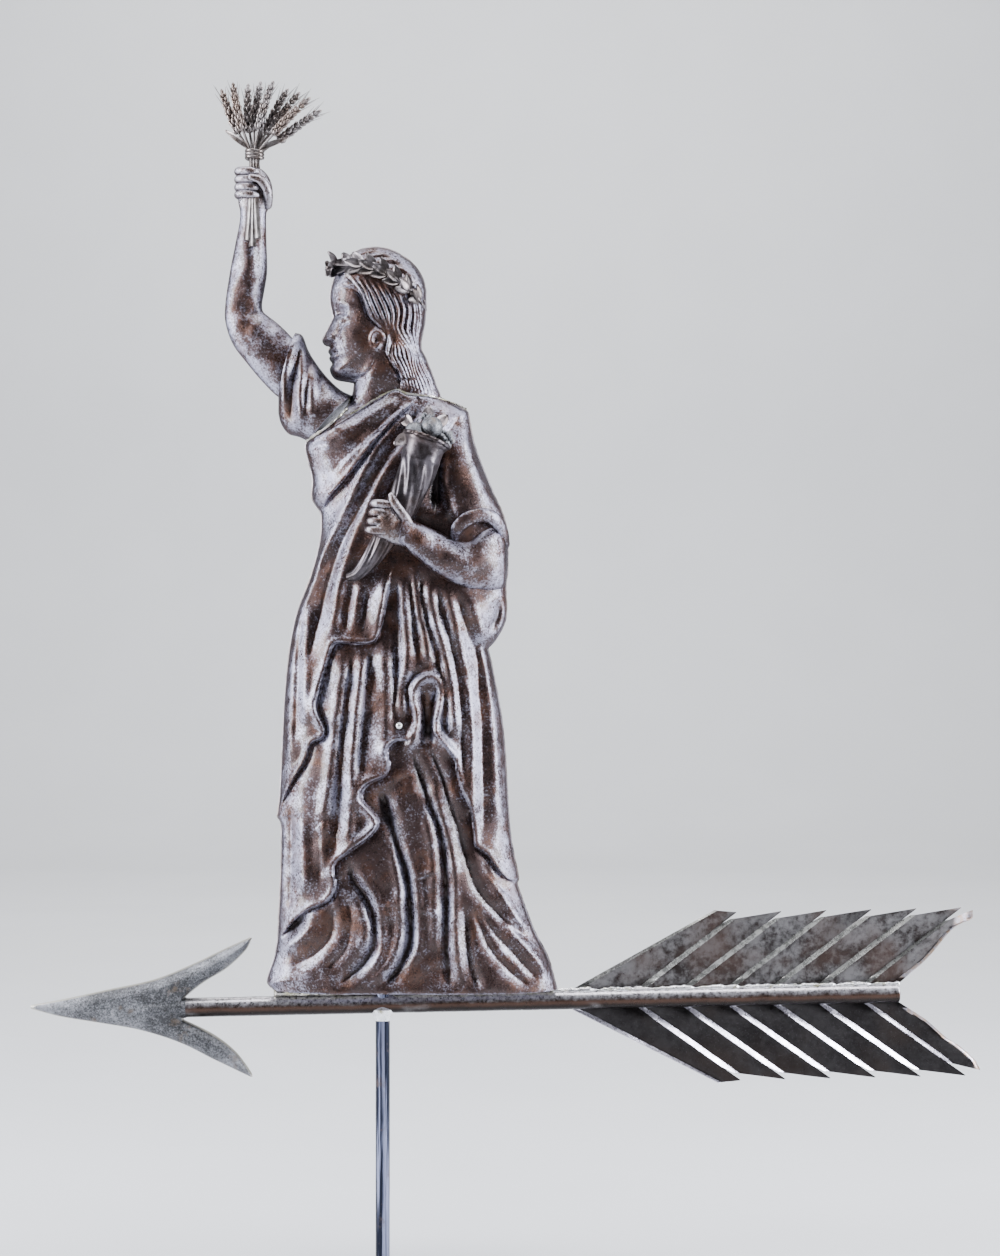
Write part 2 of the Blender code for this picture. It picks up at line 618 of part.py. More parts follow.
def make_arm():
    """The raised arm, its joint shifted off the shoulder by the fit gap."""
    joint = spline(SHOULDER_JOINT, JOINT_SPACING)
    ends = joint[0] - joint[-1]
    away = np.array([-ends[1], ends[0]]) / np.linalg.norm(ends) * FIT_GAP / STEP
    rim = chain(ARM_OUTLINE, 9)
    outline = np.vstack([rim, joint[::-1][1:-1]])
    pinched = [True] * len(rim) + [False] * (len(joint) - 2)
    lines = fold_lines(SLEEVE_FOLDS, outline, 9, 8)
    fill = filling(outline, lines, SLEEVE_SPACING)
    points, faces = triangulate(outline, lines, fill, pinched, 0.6)

    def depth(places):
        places = places - away
        seam = nearest_on(places, chain(ARM_OUTLINE, 5))[0]
        blend = np.clip(nearest_on(places, joint)[0] / ARM_BLEND, 0, 1)
        blend = blend * blend * (3 - 2 * blend)
        full = ARM_JOINT[0] + (ARM_FOREARM[0] - ARM_JOINT[0]) * blend
        reach = ARM_JOINT[1] + (ARM_FOREARM[1] - ARM_JOINT[1]) * blend
        smooth = swell(seam, full, reach)
        carved = smooth + np.clip(seam / 6, 0, 1) * relief(places, SLEEVE_FOLDS)
        return np.where(seam < 0.01, 0, np.maximum(carved, 0.35 * smooth))

    mesh = relief_mesh("raised_arm", points + away, faces, STEP, depth, depth)
    arm = add_part("raised_arm", mesh, COPPER)
    arm.location.z = HEM_Z
    return arm


def make_horn(figure_clearance):
    course = np.array(HORN_COURSE, float)
    fine = spline(course, HORN_SPACING)
    surface = body_smooth_depth(fine[:, :2])[0] + HORN_OFFSET
    places = [(u, -(depth + lift), v) for (u, v, _, lift), depth in zip(fine, surface)]
    radii = list(fine[:, 2])
    mesh = tube_mesh("horn", places, radii, HORN_SIDES, STEP)
    horn = add_part("horn", mesh, SHEET)
    horn.location.z = HEM_Z
    combine(horn, figure_clearance, "DIFFERENCE")
    return horn


def make_fruit(figure_clearance, horn_clearance):
    balls = []
    for index, (u, v, radius, lift) in enumerate(FRUITS):
        depth = body_smooth_depth(np.array([(u, v)], float))[0][0] + lift
        place = Vector((u, -depth, v)) * STEP
        balls.append(ball_mesh("fruit_%d" % index, place, radius * STEP))
    fruit = add_part("horn_fruit", balls[0], CAST)
    rest = add_cutter("fruit_rest", merged_mesh("fruit_rest", balls[1:]))
    combine(fruit, rest, "UNION", inner_crossings=True)
    fruit.location.z = HEM_Z
    rest.location.z = HEM_Z
    combine(fruit, figure_clearance, "DIFFERENCE")
    combine(fruit, horn_clearance, "DIFFERENCE")
    return fruit


def make_forearm(figure_clearance, horn_clearance, fruit_clearance):
    outline = chain(FOREARM_OUTLINE, 8)[:-1]
    lines = fold_lines(FOREARM_FOLDS, outline, 8, 8)
    fill = filling(outline, lines, 9)
    points, faces = triangulate(outline, lines, fill, [False] * len(outline), 0.6)
    closed = np.vstack([outline, outline[:1]])

    def lift(places):
        share = np.clip((LIFT_START - places[:, 0]) / LIFT_REACH, 0, 1)
        return HAND_LIFT * share * share * (3 - 2 * share)

    def front(places):
        rim = nearest_on(places, closed)[0]
        rounded = swell(rim, FOREARM_SWELL[0], FOREARM_SWELL[1])
        carving = relief(places, FOREARM_FOLDS) * np.clip(rim / 5, 0, 1)
        return body_smooth_depth(places)[0] + lift(places) + rounded + carving

    def back(places):
        return -np.maximum(body_smooth_depth(places)[0] - FOREARM_SINK, 2)

    mesh = relief_mesh("left_forearm", points, faces, STEP, front, back)
    forearm = add_part("left_forearm", mesh, COPPER)
    forearm.location.z = HEM_Z
    for clearance in (figure_clearance, horn_clearance, fruit_clearance):
        combine(forearm, clearance, "DIFFERENCE")
    return forearm


def make_wreath(figure_clearance):
    """Leaves in pairs on a band round the head, cut out by the head itself."""
    stations = spline(WREATH_LINE, 1)
    heading = np.gradient(stations, axis=0)
    heading /= np.linalg.norm(heading, axis=1)[:, None]
    across = np.column_stack([-heading[:, 1], heading[:, 0]])
    upper = []
    lower = []
    ribs = []
    for leaf in range(LEAVES):
        root = round((leaf + 0.95) * (len(stations) - 1) / LEAVES)
        half = LEAF_HALF_WIDTH * (1 - 0.35 * leaf / LEAVES)
        tip = stations[root] - LEAF_LEAN * heading[root]
        upper += [tip + half * across[root], stations[root] + LEAF_NOTCH * across[root]]
        lower += [tip - half * across[root], stations[root] - LEAF_NOTCH * across[root]]
        start = stations[root] - 1.5 * heading[root]
        ribs.append(np.array([start + 0.5 * across[root], tip + 0.75 * half * across[root]]))
        ribs.append(np.array([start - 0.5 * across[root], tip - 0.75 * half * across[root]]))
    front_end = [stations[0] - LEAF_NOTCH * 0.7 * across[0], stations[0] + LEAF_NOTCH * 0.7 * across[0]]
    outline = np.array(front_end + upper + lower[::-1])
    fill = filling(outline, ribs, 12)
    points, faces = triangulate(outline, ribs, fill, [False] * len(outline), 0.3)
    folds = [("ridge", 2.5, 4, [tuple(a), tuple(b)]) for a, b in ribs]

    def depth(places):
        return body_smooth_depth(places)[0] * inside(places, body_outline(5)[0]) + WREATH_THICKNESS \
            + relief(places, folds)

    mesh = relief_mesh("leaf_wreath", points, faces, STEP, depth, depth)
    wreath = add_part("leaf_wreath", mesh, SHEET)
    wreath.location.z = HEM_Z
    combine(wreath, figure_clearance, "DIFFERENCE")
    return wreath


def make_sheaf(arm_clearance):
    """Stalks tied above the fist, with an ear of wheat on each, in a fan."""
    pieces = []
    for index in range(EARS):
        angle = math.radians(EAR_FAN[0] + (EAR_FAN[1] - EAR_FAN[0]) * index / (EARS - 1))
        away = Vector((math.sin(angle), 0, math.cos(angle)))
        depth = EAR_DEPTHS[index % len(EAR_DEPTHS)]
        tie = Vector((TIE_PLACE[0] + 0.5 * (index - EARS // 2), 0.35 * depth, TIE_PLACE[1]))
        foot = tie + Vector((0, 0, -16))
        start = tie + EAR_START * away + Vector((0, 0.65 * depth, 0))
        pieces.append(tube_mesh("stalk", [foot, tie, start + 4 * away], [STALK_RADIUS] * 3, 6, STEP))
        shares = (0, 0.2, 0.5, 0.8, 1)
        radii = [EAR_RADIUS * r for r in (0.5, 0.95, 1, 0.65, 0.12)]
        lean = Vector((0.10, 0, -0.02))
        places = [start + EAR_LENGTH * (s * away + s * s * lean) for s in shares]
        pieces.append(tube_mesh("ear", places, radii, 6, STEP))
    centre = Vector((TIE_PLACE[0], 0, TIE_PLACE[1]))
    band = [centre + Vector((0, 0, height)) for height in (-6, -4, 4, 6)]
    tie_mesh = tube_mesh("tie", band, [TIE_RADIUS * 0.86, TIE_RADIUS, TIE_RADIUS, TIE_RADIUS * 0.86], 12, STEP)
    sheaf = add_part("wheat_sheaf", tie_mesh, SHEET)
    rest = add_cutter("sheaf_rest", merged_mesh("sheaf_rest", pieces))
    combine(sheaf, rest, "UNION", inner_crossings=True)
    sheaf.location.z = HEM_Z
    rest.location.z = HEM_Z
    combine(sheaf, arm_clearance, "DIFFERENCE")
    return sheaf


def make_stalk_ends(arm_clearance):
    """The stalks' cut ends, lying on the forearm below the fist."""
    pieces = []
    for u, v in STALK_ENDS:
        top = Vector((-128 + 0.5 * (u + 128), -17.5, 795))
        pieces.append(tube_mesh("stalk_end", [top, Vector((u, -19.5, v))], [3.4, 3.4], 8, STEP))
    ends = add_part("stalk_ends", pieces[0], SHEET)
    rest = add_cutter("stalk_ends_rest", merged_mesh("stalk_ends_rest", pieces[1:]))
    combine(ends, rest, "UNION", inner_crossings=True)
    ends.location.z = HEM_Z
    rest.location.z = HEM_Z
    combine(ends, arm_clearance, "DIFFERENCE")
    return ends


def along_shaft(part):
    """Places a piece that is drawn in the arrow's own frame."""
    part.location.z = SHAFT_AXIS_Z
    part.rotation_euler.y = -ARROW_TILT


def bar_mesh(name, x_start, x_end, radius, segments=32):
    bm = bmesh.new()
    bmesh.ops.create_cone(bm, cap_ends=True, segments=segments, radius1=radius, radius2=radius,
                          depth=x_end - x_start)
    bmesh.ops.rotate(bm, verts=bm.verts, cent=(0, 0, 0), matrix=TURN_TO_X)
    bmesh.ops.translate(bm, verts=bm.verts, vec=((x_start + x_end) / 2, 0, 0))
    mesh = bpy.data.meshes.new(name)
    bm.to_mesh(mesh)
    bm.free()
    return mesh


def make_shaft():
    shaft = add_part("arrow_shaft", bar_mesh("arrow_shaft", -SHAFT_FRONT, SHAFT_BACK, SHAFT_RADIUS), SHAFT_METAL)
    along_shaft(shaft)
    combine(shaft, BORE_CUTTER, "DIFFERENCE")
    return shaft


def make_saddle(name, x_start, x_end):
    """A wedge strip that fills the narrow space between the shaft and the hem."""
    bm = bmesh.new()
    bmesh.ops.create_cube(bm, size=1)
    low = SHAFT_AXIS_Z - HEM_Z + x_start * math.tan(ARROW_TILT) + 0.6 * SHAFT_RADIUS
    top = -FIT_GAP
    bmesh.ops.scale(bm, verts=bm.verts, vec=(x_end - x_start, 2 * SADDLE_HALF_WIDTH, top - low))
    bmesh.ops.translate(bm, verts=bm.verts, vec=((x_start + x_end) / 2, 0, (top + low) / 2))
    mesh = bpy.data.meshes.new(name)
    bm.to_mesh(mesh)
    bm.free()
    saddle = add_part(name, mesh, SOLDER)
    saddle.location.z = HEM_Z
    combine(saddle, SHAFT_CLEARANCE, "DIFFERENCE")
    return saddle


def make_arrowhead():
    """The cast arrowhead, with a round stub that meets the shaft end to end."""
    upper = chain([ARROWHEAD_UPPER, ARROWHEAD_UPPER_BACK], ARROWHEAD_SPACING)
    notch = spline([NOTCH_TOP, NOTCH_FOOT], ARROWHEAD_SPACING)
    lower = chain([ARROWHEAD_LOWER_BACK, ARROWHEAD_LOWER], ARROWHEAD_SPACING)
    outline = np.vstack([upper, notch[1:-1], lower[:-1]])
    rim = np.vstack([outline, outline[:1]])
    fill = filling(outline, [], ARROWHEAD_FILL)
    points, faces = triangulate(outline, [], fill, [True] * len(outline), 0.2)
    scale = ARROWHEAD_LENGTH / 100
    full = ARROWHEAD_HALF_DEPTH / scale

    def depth(places):
        distance = nearest_on(places, rim)[0]
        narrowing = np.interp(places[:, 0], *np.array(ARROWHEAD_THINNING, float).T)
        return np.where(distance < 0.01, 0, swell(distance, full * narrowing, ARROWHEAD_ROUNDING))

    head = add_part("arrow_head", relief_mesh("arrow_head", points, faces, scale, depth, depth), CAST)
    for vert in head.data.vertices:
        vert.co.x -= ARROWHEAD_REACH
    along_shaft(head)
    end = -SHAFT_FRONT - FIT_GAP
    places = [(end, 0, 0), (end - STUB_LENGTH, 0, 0), (end - STUB_REACH, 0, 0)]
    radii = [SHAFT_RADIUS * STUB_SWELL, SHAFT_RADIUS * STUB_SWELL, SHAFT_RADIUS * STUB_POINT]
    stub = add_cutter("arrow_head_stub", tube_mesh("arrow_head_stub", places, radii, 24))
    along_shaft(stub)
    combine(head, stub, "UNION")
    return head


def ridge_place(index, rise):
    """A point on a barb's fold, at a rise above the shaft's top."""
    start = FLETCH_FRONT
    if index > 0:
        start += FIRST_BARB + (index - 1) * BARB_PITCH
    return (start + rise / math.tan(BARB_SLOPE), SHAFT_RADIUS + FIT_GAP + rise)


def make_fletching(name, side, strip, bent_tip):
    """Barbs folded from one sheet; side is 1 above the shaft and -1 below it."""
    base = SHAFT_RADIUS + FIT_GAP
    lead = (ridge_place(1, BARB_RISE)[0] - LEAD_BACK, base + BARB_RISE + BARB_TIP[1] + LEAD_RISE)
    outline = [(FLETCH_FRONT, base), lead]
    for index in range(1, BARBS):
        notch = ridge_place(index, BARB_RISE)
        outline.append((notch[0] + BARB_TIP[0], notch[1] + BARB_TIP[1]))
        outline.append(notch)
        if index < BARBS - 1:
            outline.append((notch[0] + 0.7 * BARB_TIP[0], notch[1] + 0.5 * BARB_TIP[1]))
    outline += [(SHAFT_BACK + x, base + z) for x, z in bent_tip[::-1]]
    outline = np.array(outline)
    lines = []
    for index in range(1, BARBS):
        for shift in (0, strip / math.sin(BARB_SLOPE)):
            ends = [ridge_place(index, 0), ridge_place(index, BARB_RISE - 0.35 * shift)]
            lines.append(np.array([(x + shift, z) for x, z in ends]))
    fill = filling(outline, lines, 0.03)
    points, faces = triangulate(outline, lines, fill, [False] * len(outline), 0.0004)

    def fold(places):
        rise = np.clip(places[:, 1] - base, 0, None)
        across = places[:, 0] - FLETCH_FRONT - rise / math.tan(BARB_SLOPE)
        beyond = across - FIRST_BARB
        in_barb = np.where(beyond > 0, np.mod(beyond, BARB_PITCH), across + BARB_PITCH - FIRST_BARB)
        flank = strip / math.sin(BARB_SLOPE)
        share = np.where(in_barb < flank, in_barb / flank, (BARB_PITCH - in_barb) / (BARB_PITCH - flank))
        share = np.clip(share, 0, 1)
        proud = share if side > 0 else 1 - share
        curl = np.clip((places[:, 0] - SHAFT_BACK - CURL_START) / CURL_REACH, 0, 1) ** 2
        return FLETCH_FOLD * ((proud - 0.5) * np.clip(rise / FLETCH_STIFF, 0, 1) - curl)

    def front(places):
        return fold(places) + FLETCH_THICKNESS / 2

    def back(places):
        return FLETCH_THICKNESS / 2 - fold(places)

    mesh = relief_mesh(name, points, faces, 1, front, back)
    if side < 0:
        for vert in mesh.vertices:
            vert.co.z = -vert.co.z
        mesh.flip_normals()
    fletching = add_part(name, mesh, SHEET, smooth_angle=20)
    along_shaft(fletching)
    return fletching


def make_spindle():
    top = HEM_Z + BORE_DEPTH - POINT_CLEARANCE
    profile = [
        (0, top),
        (SPINDLE_BLUNT, top),
        (SPINDLE_RADIUS, top - SPINDLE_POINT),
        (SPINDLE_RADIUS, SPINDLE_BLUNT),
        (SPINDLE_RADIUS - SPINDLE_BLUNT, 0),
        (0, 0),
    ]
    return turned_part("spindle", profile, STEEL)


def make_collar():
    """The ring that guides the spindle under the shaft, flared where it is soldered on."""
    inner = BORE_RADIUS
    outer = BORE_RADIUS + COLLAR_WALL
    low = SPINDLE_REACH - COLLAR_HEIGHT
    high = SHAFT_AXIS_Z
    profile = [
        (inner, high),
        (outer + COLLAR_FLARE, high),
        (outer, SPINDLE_REACH - COLLAR_STRAIGHT),
        (outer, low + COLLAR_ROUNDING),
        (outer - COLLAR_ROUNDING, low),
        (inner, low),
        (inner, high),
    ]
    collar = turned_part("spindle_collar", profile, SOLDER, steps=24)
    combine(collar, SHAFT_CLEARANCE, "DIFFERENCE")
    return collar


def make_bore_cutter():
    """The spindle's hole: through the shaft and blind in the figure, with a pointed end."""
    top = HEM_Z + BORE_DEPTH
    places = [(0, 0, SPINDLE_REACH - SHAFT_RADIUS), (0, 0, top - SPINDLE_POINT), (0, 0, top)]
    radii = [BORE_RADIUS, BORE_RADIUS, SPINDLE_BLUNT + BORE_CLEARANCE]
    return add_cutter("spindle_bore", tube_mesh("spindle_bore", places, radii, 32))


def make_rivet(figure_clearance):
    depth = body_depth(np.array([(18.0, 264.0)]))[0]
    place = Vector((18, -depth, 264)) * STEP
    rivet = add_part("robe_rivet", ball_mesh("robe_rivet", place, 3.6 * STEP), SOLDER)
    rivet.location.z = HEM_Z
    combine(rivet, figure_clearance, "DIFFERENCE")
    return rivet


clear_scene()
PARTS = make_collection("weathervane")
CUTTERS = make_collection("cutters")
TURN_TO_X = Vector((0, 0, 1)).rotation_difference(Vector((1, 0, 0))).to_matrix()
BORE_CUTTER = make_bore_cutter()
SHAFT_CLEARANCE = add_cutter(
    "shaft_clearance", bar_mesh("shaft_clearance", -SHAFT_FRONT, SHAFT_BACK, SHAFT_RADIUS + FIT_GAP, 48))
along_shaft(SHAFT_CLEARANCE)

make_spindle()
make_collar()
make_shaft()
make_arrowhead()
make_fletching("fletching_upper", 1, UPPER_STRIP, UPPER_BENT_TIP)
make_fletching("fletching_lower", -1, LOWER_STRIP, LOWER_BENT_TIP)
SADDLE_BREAK = BORE_RADIUS + FIT_GAP
make_saddle("saddle_front", SADDLE_FRONT_END * STEP, -SADDLE_BREAK)
make_saddle("saddle_rear", SADDLE_BREAK, SADDLE_REAR_END * STEP)
FIGURE = make_figure()
FIGURE_CLEARANCE = grown_cutter(FIGURE)
ARM = make_arm()
ARM_CLEARANCE = grown_cutter(ARM)
HORN = make_horn(FIGURE_CLEARANCE)
HORN_CLEARANCE = grown_cutter(HORN)
FRUIT = make_fruit(FIGURE_CLEARANCE, HORN_CLEARANCE)
FRUIT_CLEARANCE = grown_cutter(FRUIT)
make_forearm(FIGURE_CLEARANCE, HORN_CLEARANCE, FRUIT_CLEARANCE)
make_wreath(FIGURE_CLEARANCE)
make_sheaf(ARM_CLEARANCE)
make_stalk_ends(ARM_CLEARANCE)
make_rivet(FIGURE_CLEARANCE)
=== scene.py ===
"""The looks of the weathervane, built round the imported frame.

Metres, +Z up. The arrow points to -X and the figure's front faces -Y. The figure is drawn in
steps: u to the right of the spindle, v up from the hem, and depth towards the front.
"""

import math

import bmesh
import bpy
import numpy as np
from mathutils import Matrix, Vector


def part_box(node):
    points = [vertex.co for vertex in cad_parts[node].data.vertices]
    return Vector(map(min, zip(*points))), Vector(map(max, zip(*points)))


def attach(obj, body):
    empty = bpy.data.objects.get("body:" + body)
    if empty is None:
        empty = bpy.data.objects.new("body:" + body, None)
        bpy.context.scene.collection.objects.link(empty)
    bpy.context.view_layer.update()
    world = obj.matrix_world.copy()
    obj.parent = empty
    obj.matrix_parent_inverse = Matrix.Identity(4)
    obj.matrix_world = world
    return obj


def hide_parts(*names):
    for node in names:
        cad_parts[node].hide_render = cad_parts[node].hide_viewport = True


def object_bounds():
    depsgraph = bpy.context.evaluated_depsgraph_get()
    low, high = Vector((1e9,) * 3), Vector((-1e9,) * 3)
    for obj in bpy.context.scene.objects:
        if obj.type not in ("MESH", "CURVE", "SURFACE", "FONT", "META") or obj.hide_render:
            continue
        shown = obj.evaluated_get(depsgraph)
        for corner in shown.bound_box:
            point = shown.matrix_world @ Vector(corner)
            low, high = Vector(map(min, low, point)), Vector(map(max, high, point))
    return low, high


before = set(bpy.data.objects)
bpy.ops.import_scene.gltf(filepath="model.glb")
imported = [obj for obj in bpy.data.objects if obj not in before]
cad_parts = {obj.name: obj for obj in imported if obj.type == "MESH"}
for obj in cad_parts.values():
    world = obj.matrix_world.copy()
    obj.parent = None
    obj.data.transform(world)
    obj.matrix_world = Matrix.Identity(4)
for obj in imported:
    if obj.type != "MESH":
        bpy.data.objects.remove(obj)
cad_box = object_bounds()

SEED = 11
FIST_TOP = 821
HEM_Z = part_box("figure_body")[0].z
STEP = (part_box("raised_arm")[1].z - HEM_Z) / FIST_TOP
SHAFT_AXIS_Z = 0.311
SHAFT_RADIUS = 0.011
SHAFT_FRONT = 0.2175
SHAFT_BACK = 0.568
ARROW_TILT = math.radians(1.19)
SPINDLE_RADIUS = 0.00794
BORE_RADIUS = 0.00829
COLLAR_WALL = 0.0017

# The figure's outline, as runs of smooth curve that meet at corners
BODY_RIGHT = [
    [(174, 0), (165, 32), (151, 59), (134, 105)],
    [(134, 105), (136, 110)],
    [(136, 110), (127, 161), (121, 253), (111, 313), (105, 340)],
    [(105, 340), (113, 349), (123, 370), (123, 403), (125, 421), (123, 464), (107, 503), (92, 542),
     (85, 576)],
    [(85, 576), (58, 590)],
    [(58, 590), (44, 627), (38, 642), (42.5, 670), (42, 702), (30, 724), (4, 739), (-22, 738), (-41, 724),
     (-49.5, 706), (-52.5, 690), (-50.5, 677), (-49, 671)],
    [(-49, 671), (-54, 660), (-60, 648)],
    [(-60, 648), (-58, 643.5), (-52, 641)],
    [(-52, 641), (-54, 636), (-51.5, 632.5)],
    [(-51.5, 632.5), (-53, 629), (-49.5, 624.5)],
    [(-49.5, 624.5), (-52, 617), (-47, 609), (-36, 606.5), (-28, 605)],
    [(-28, 605), (-29, 596), (-32.5, 587)],
]
SHOULDER_JOINT = [(-32.5, 587), (-39, 573), (-55.5, 557), (-74, 548.5)]
BODY_LEFT = [
    [(-74, 548.5), (-77, 539), (-70, 509), (-70.5, 490), (-61, 475)],
    [(-61, 475), (-62, 450), (-71, 414), (-88, 366), (-97, 301), (-102, 204), (-105, 172)],
    [(-105, 172), (-101, 160), (-102, 107), (-105, 48)],
    [(-105, 48), (-108, 32), (-115, 11), (-114, 4), (-110, 0)],
]
HEAD_TOP = 739.6
BODY_LEVELS = [
    (0, 41, 74), (110, 40, 74), (340, 37, 66), (430, 37, 62), (520, 40, 58), (560, 34, 46), (592, 24, 32),
    (612, 28, 36), (670, 33, 42), (740, 29, 38),
]

# Folds: kind, height, width and course. An edge is high on the left of its course.
FOLD_SPACING = 3
FOLD_FADE = 17
BODICE_FOLDS = [
    ("edge", 3.2, 12, [(86, 577), (58, 587), (27, 590), (14, 595), (-6, 584), (-29, 569.5), (-49, 556.6),
     (-74, 546)]),
    ("crease", 1.6, 3, [(-31, 591), (-27, 585), (-15, 584), (0.6, 589), (12.6, 598)]),
    ("ridge", 4, 8, [(24, 588), (-10, 570), (-41, 551), (-66, 537)]),
    ("crease", 4, 5, [(30, 586), (4, 563), (-15, 546), (-36, 527), (-51, 510)]),
    ("ridge", 3, 7, [(-2, 556), (-26, 534), (-48, 512)]),
    ("edge", 6, 16, [(-62, 475), (-49, 491), (-35.6, 505), (-20, 524), (-8, 541), (10, 562), (34, 586)]),
    ("ridge", 6, 8, [(38, 586), (14, 560), (-3, 538), (-17, 512), (-28, 490), (-41, 464), (-53, 445),
     (-67, 421), (-79, 388), (-89, 350)]),
    ("crease", 5, 5.5, [(42, 582), (11, 534), (-1, 514), (-13, 491), (-23.5, 472), (-36, 450), (-46, 424),
     (-54.5, 395), (-61, 369), (-70, 337), (-74, 318)]),
    ("ridge", 5, 8, [(50.5, 579), (38, 560), (25, 541), (7, 520), (-10, 489.5), (-17, 472), (-29, 446.5),
     (-37, 421), (-42.5, 395), (-46, 369), (-49, 346)]),
    ("crease", 4, 5, [(62, 577), (46, 550), (32, 527), (14, 505), (0, 480)]),
    ("ridge", 4, 6, [(72, 576), (62.5, 562), (54, 546)]),
    ("crease", 4, 5, [(80, 574), (70, 560), (60, 545)]),
    ("crease", 10, 8, [(57, 548), (57, 520), (55, 495), (54, 470)]),
    ("ridge", 4, 6, [(61, 537), (61.5, 507), (66, 484), (74, 462)]),
    ("ridge", 6, 24, [(82, 556), (90, 528), (96, 500), (102, 476)]),
    ("ridge", 3, 5, [(-76, 541), (-62, 546), (-50, 546)]),
    ("crease", 2.5, 3.5, [(-76, 537), (-62, 541), (-49, 542)]),
    ("ridge", 4, 9, [(-62, 448), (-76, 408), (-84, 370), (-88, 316), (-92, 218)]),
    ("crease", 3, 4, [(-64, 425), (-76, 390), (-82, 350), (-83, 316), (-86, 240)]),
    ("ridge", 4, 7, [(-70, 388), (-74, 343), (-75, 300), (-72, 262)]),
    ("crease", 4, 5, [(-27, 410), (-29, 396), (-33.5, 370), (-34, 349)]),
    ("ridge", 4, 7, [(-20, 408), (-24, 380), (-27, 356)]),
    ("crease", 3, 4, [(-12, 404), (-15, 380), (-19, 358)]),
    ("ridge", 4.5, 6, [(4, 412), (-1, 380), (-7, 356)]),
]
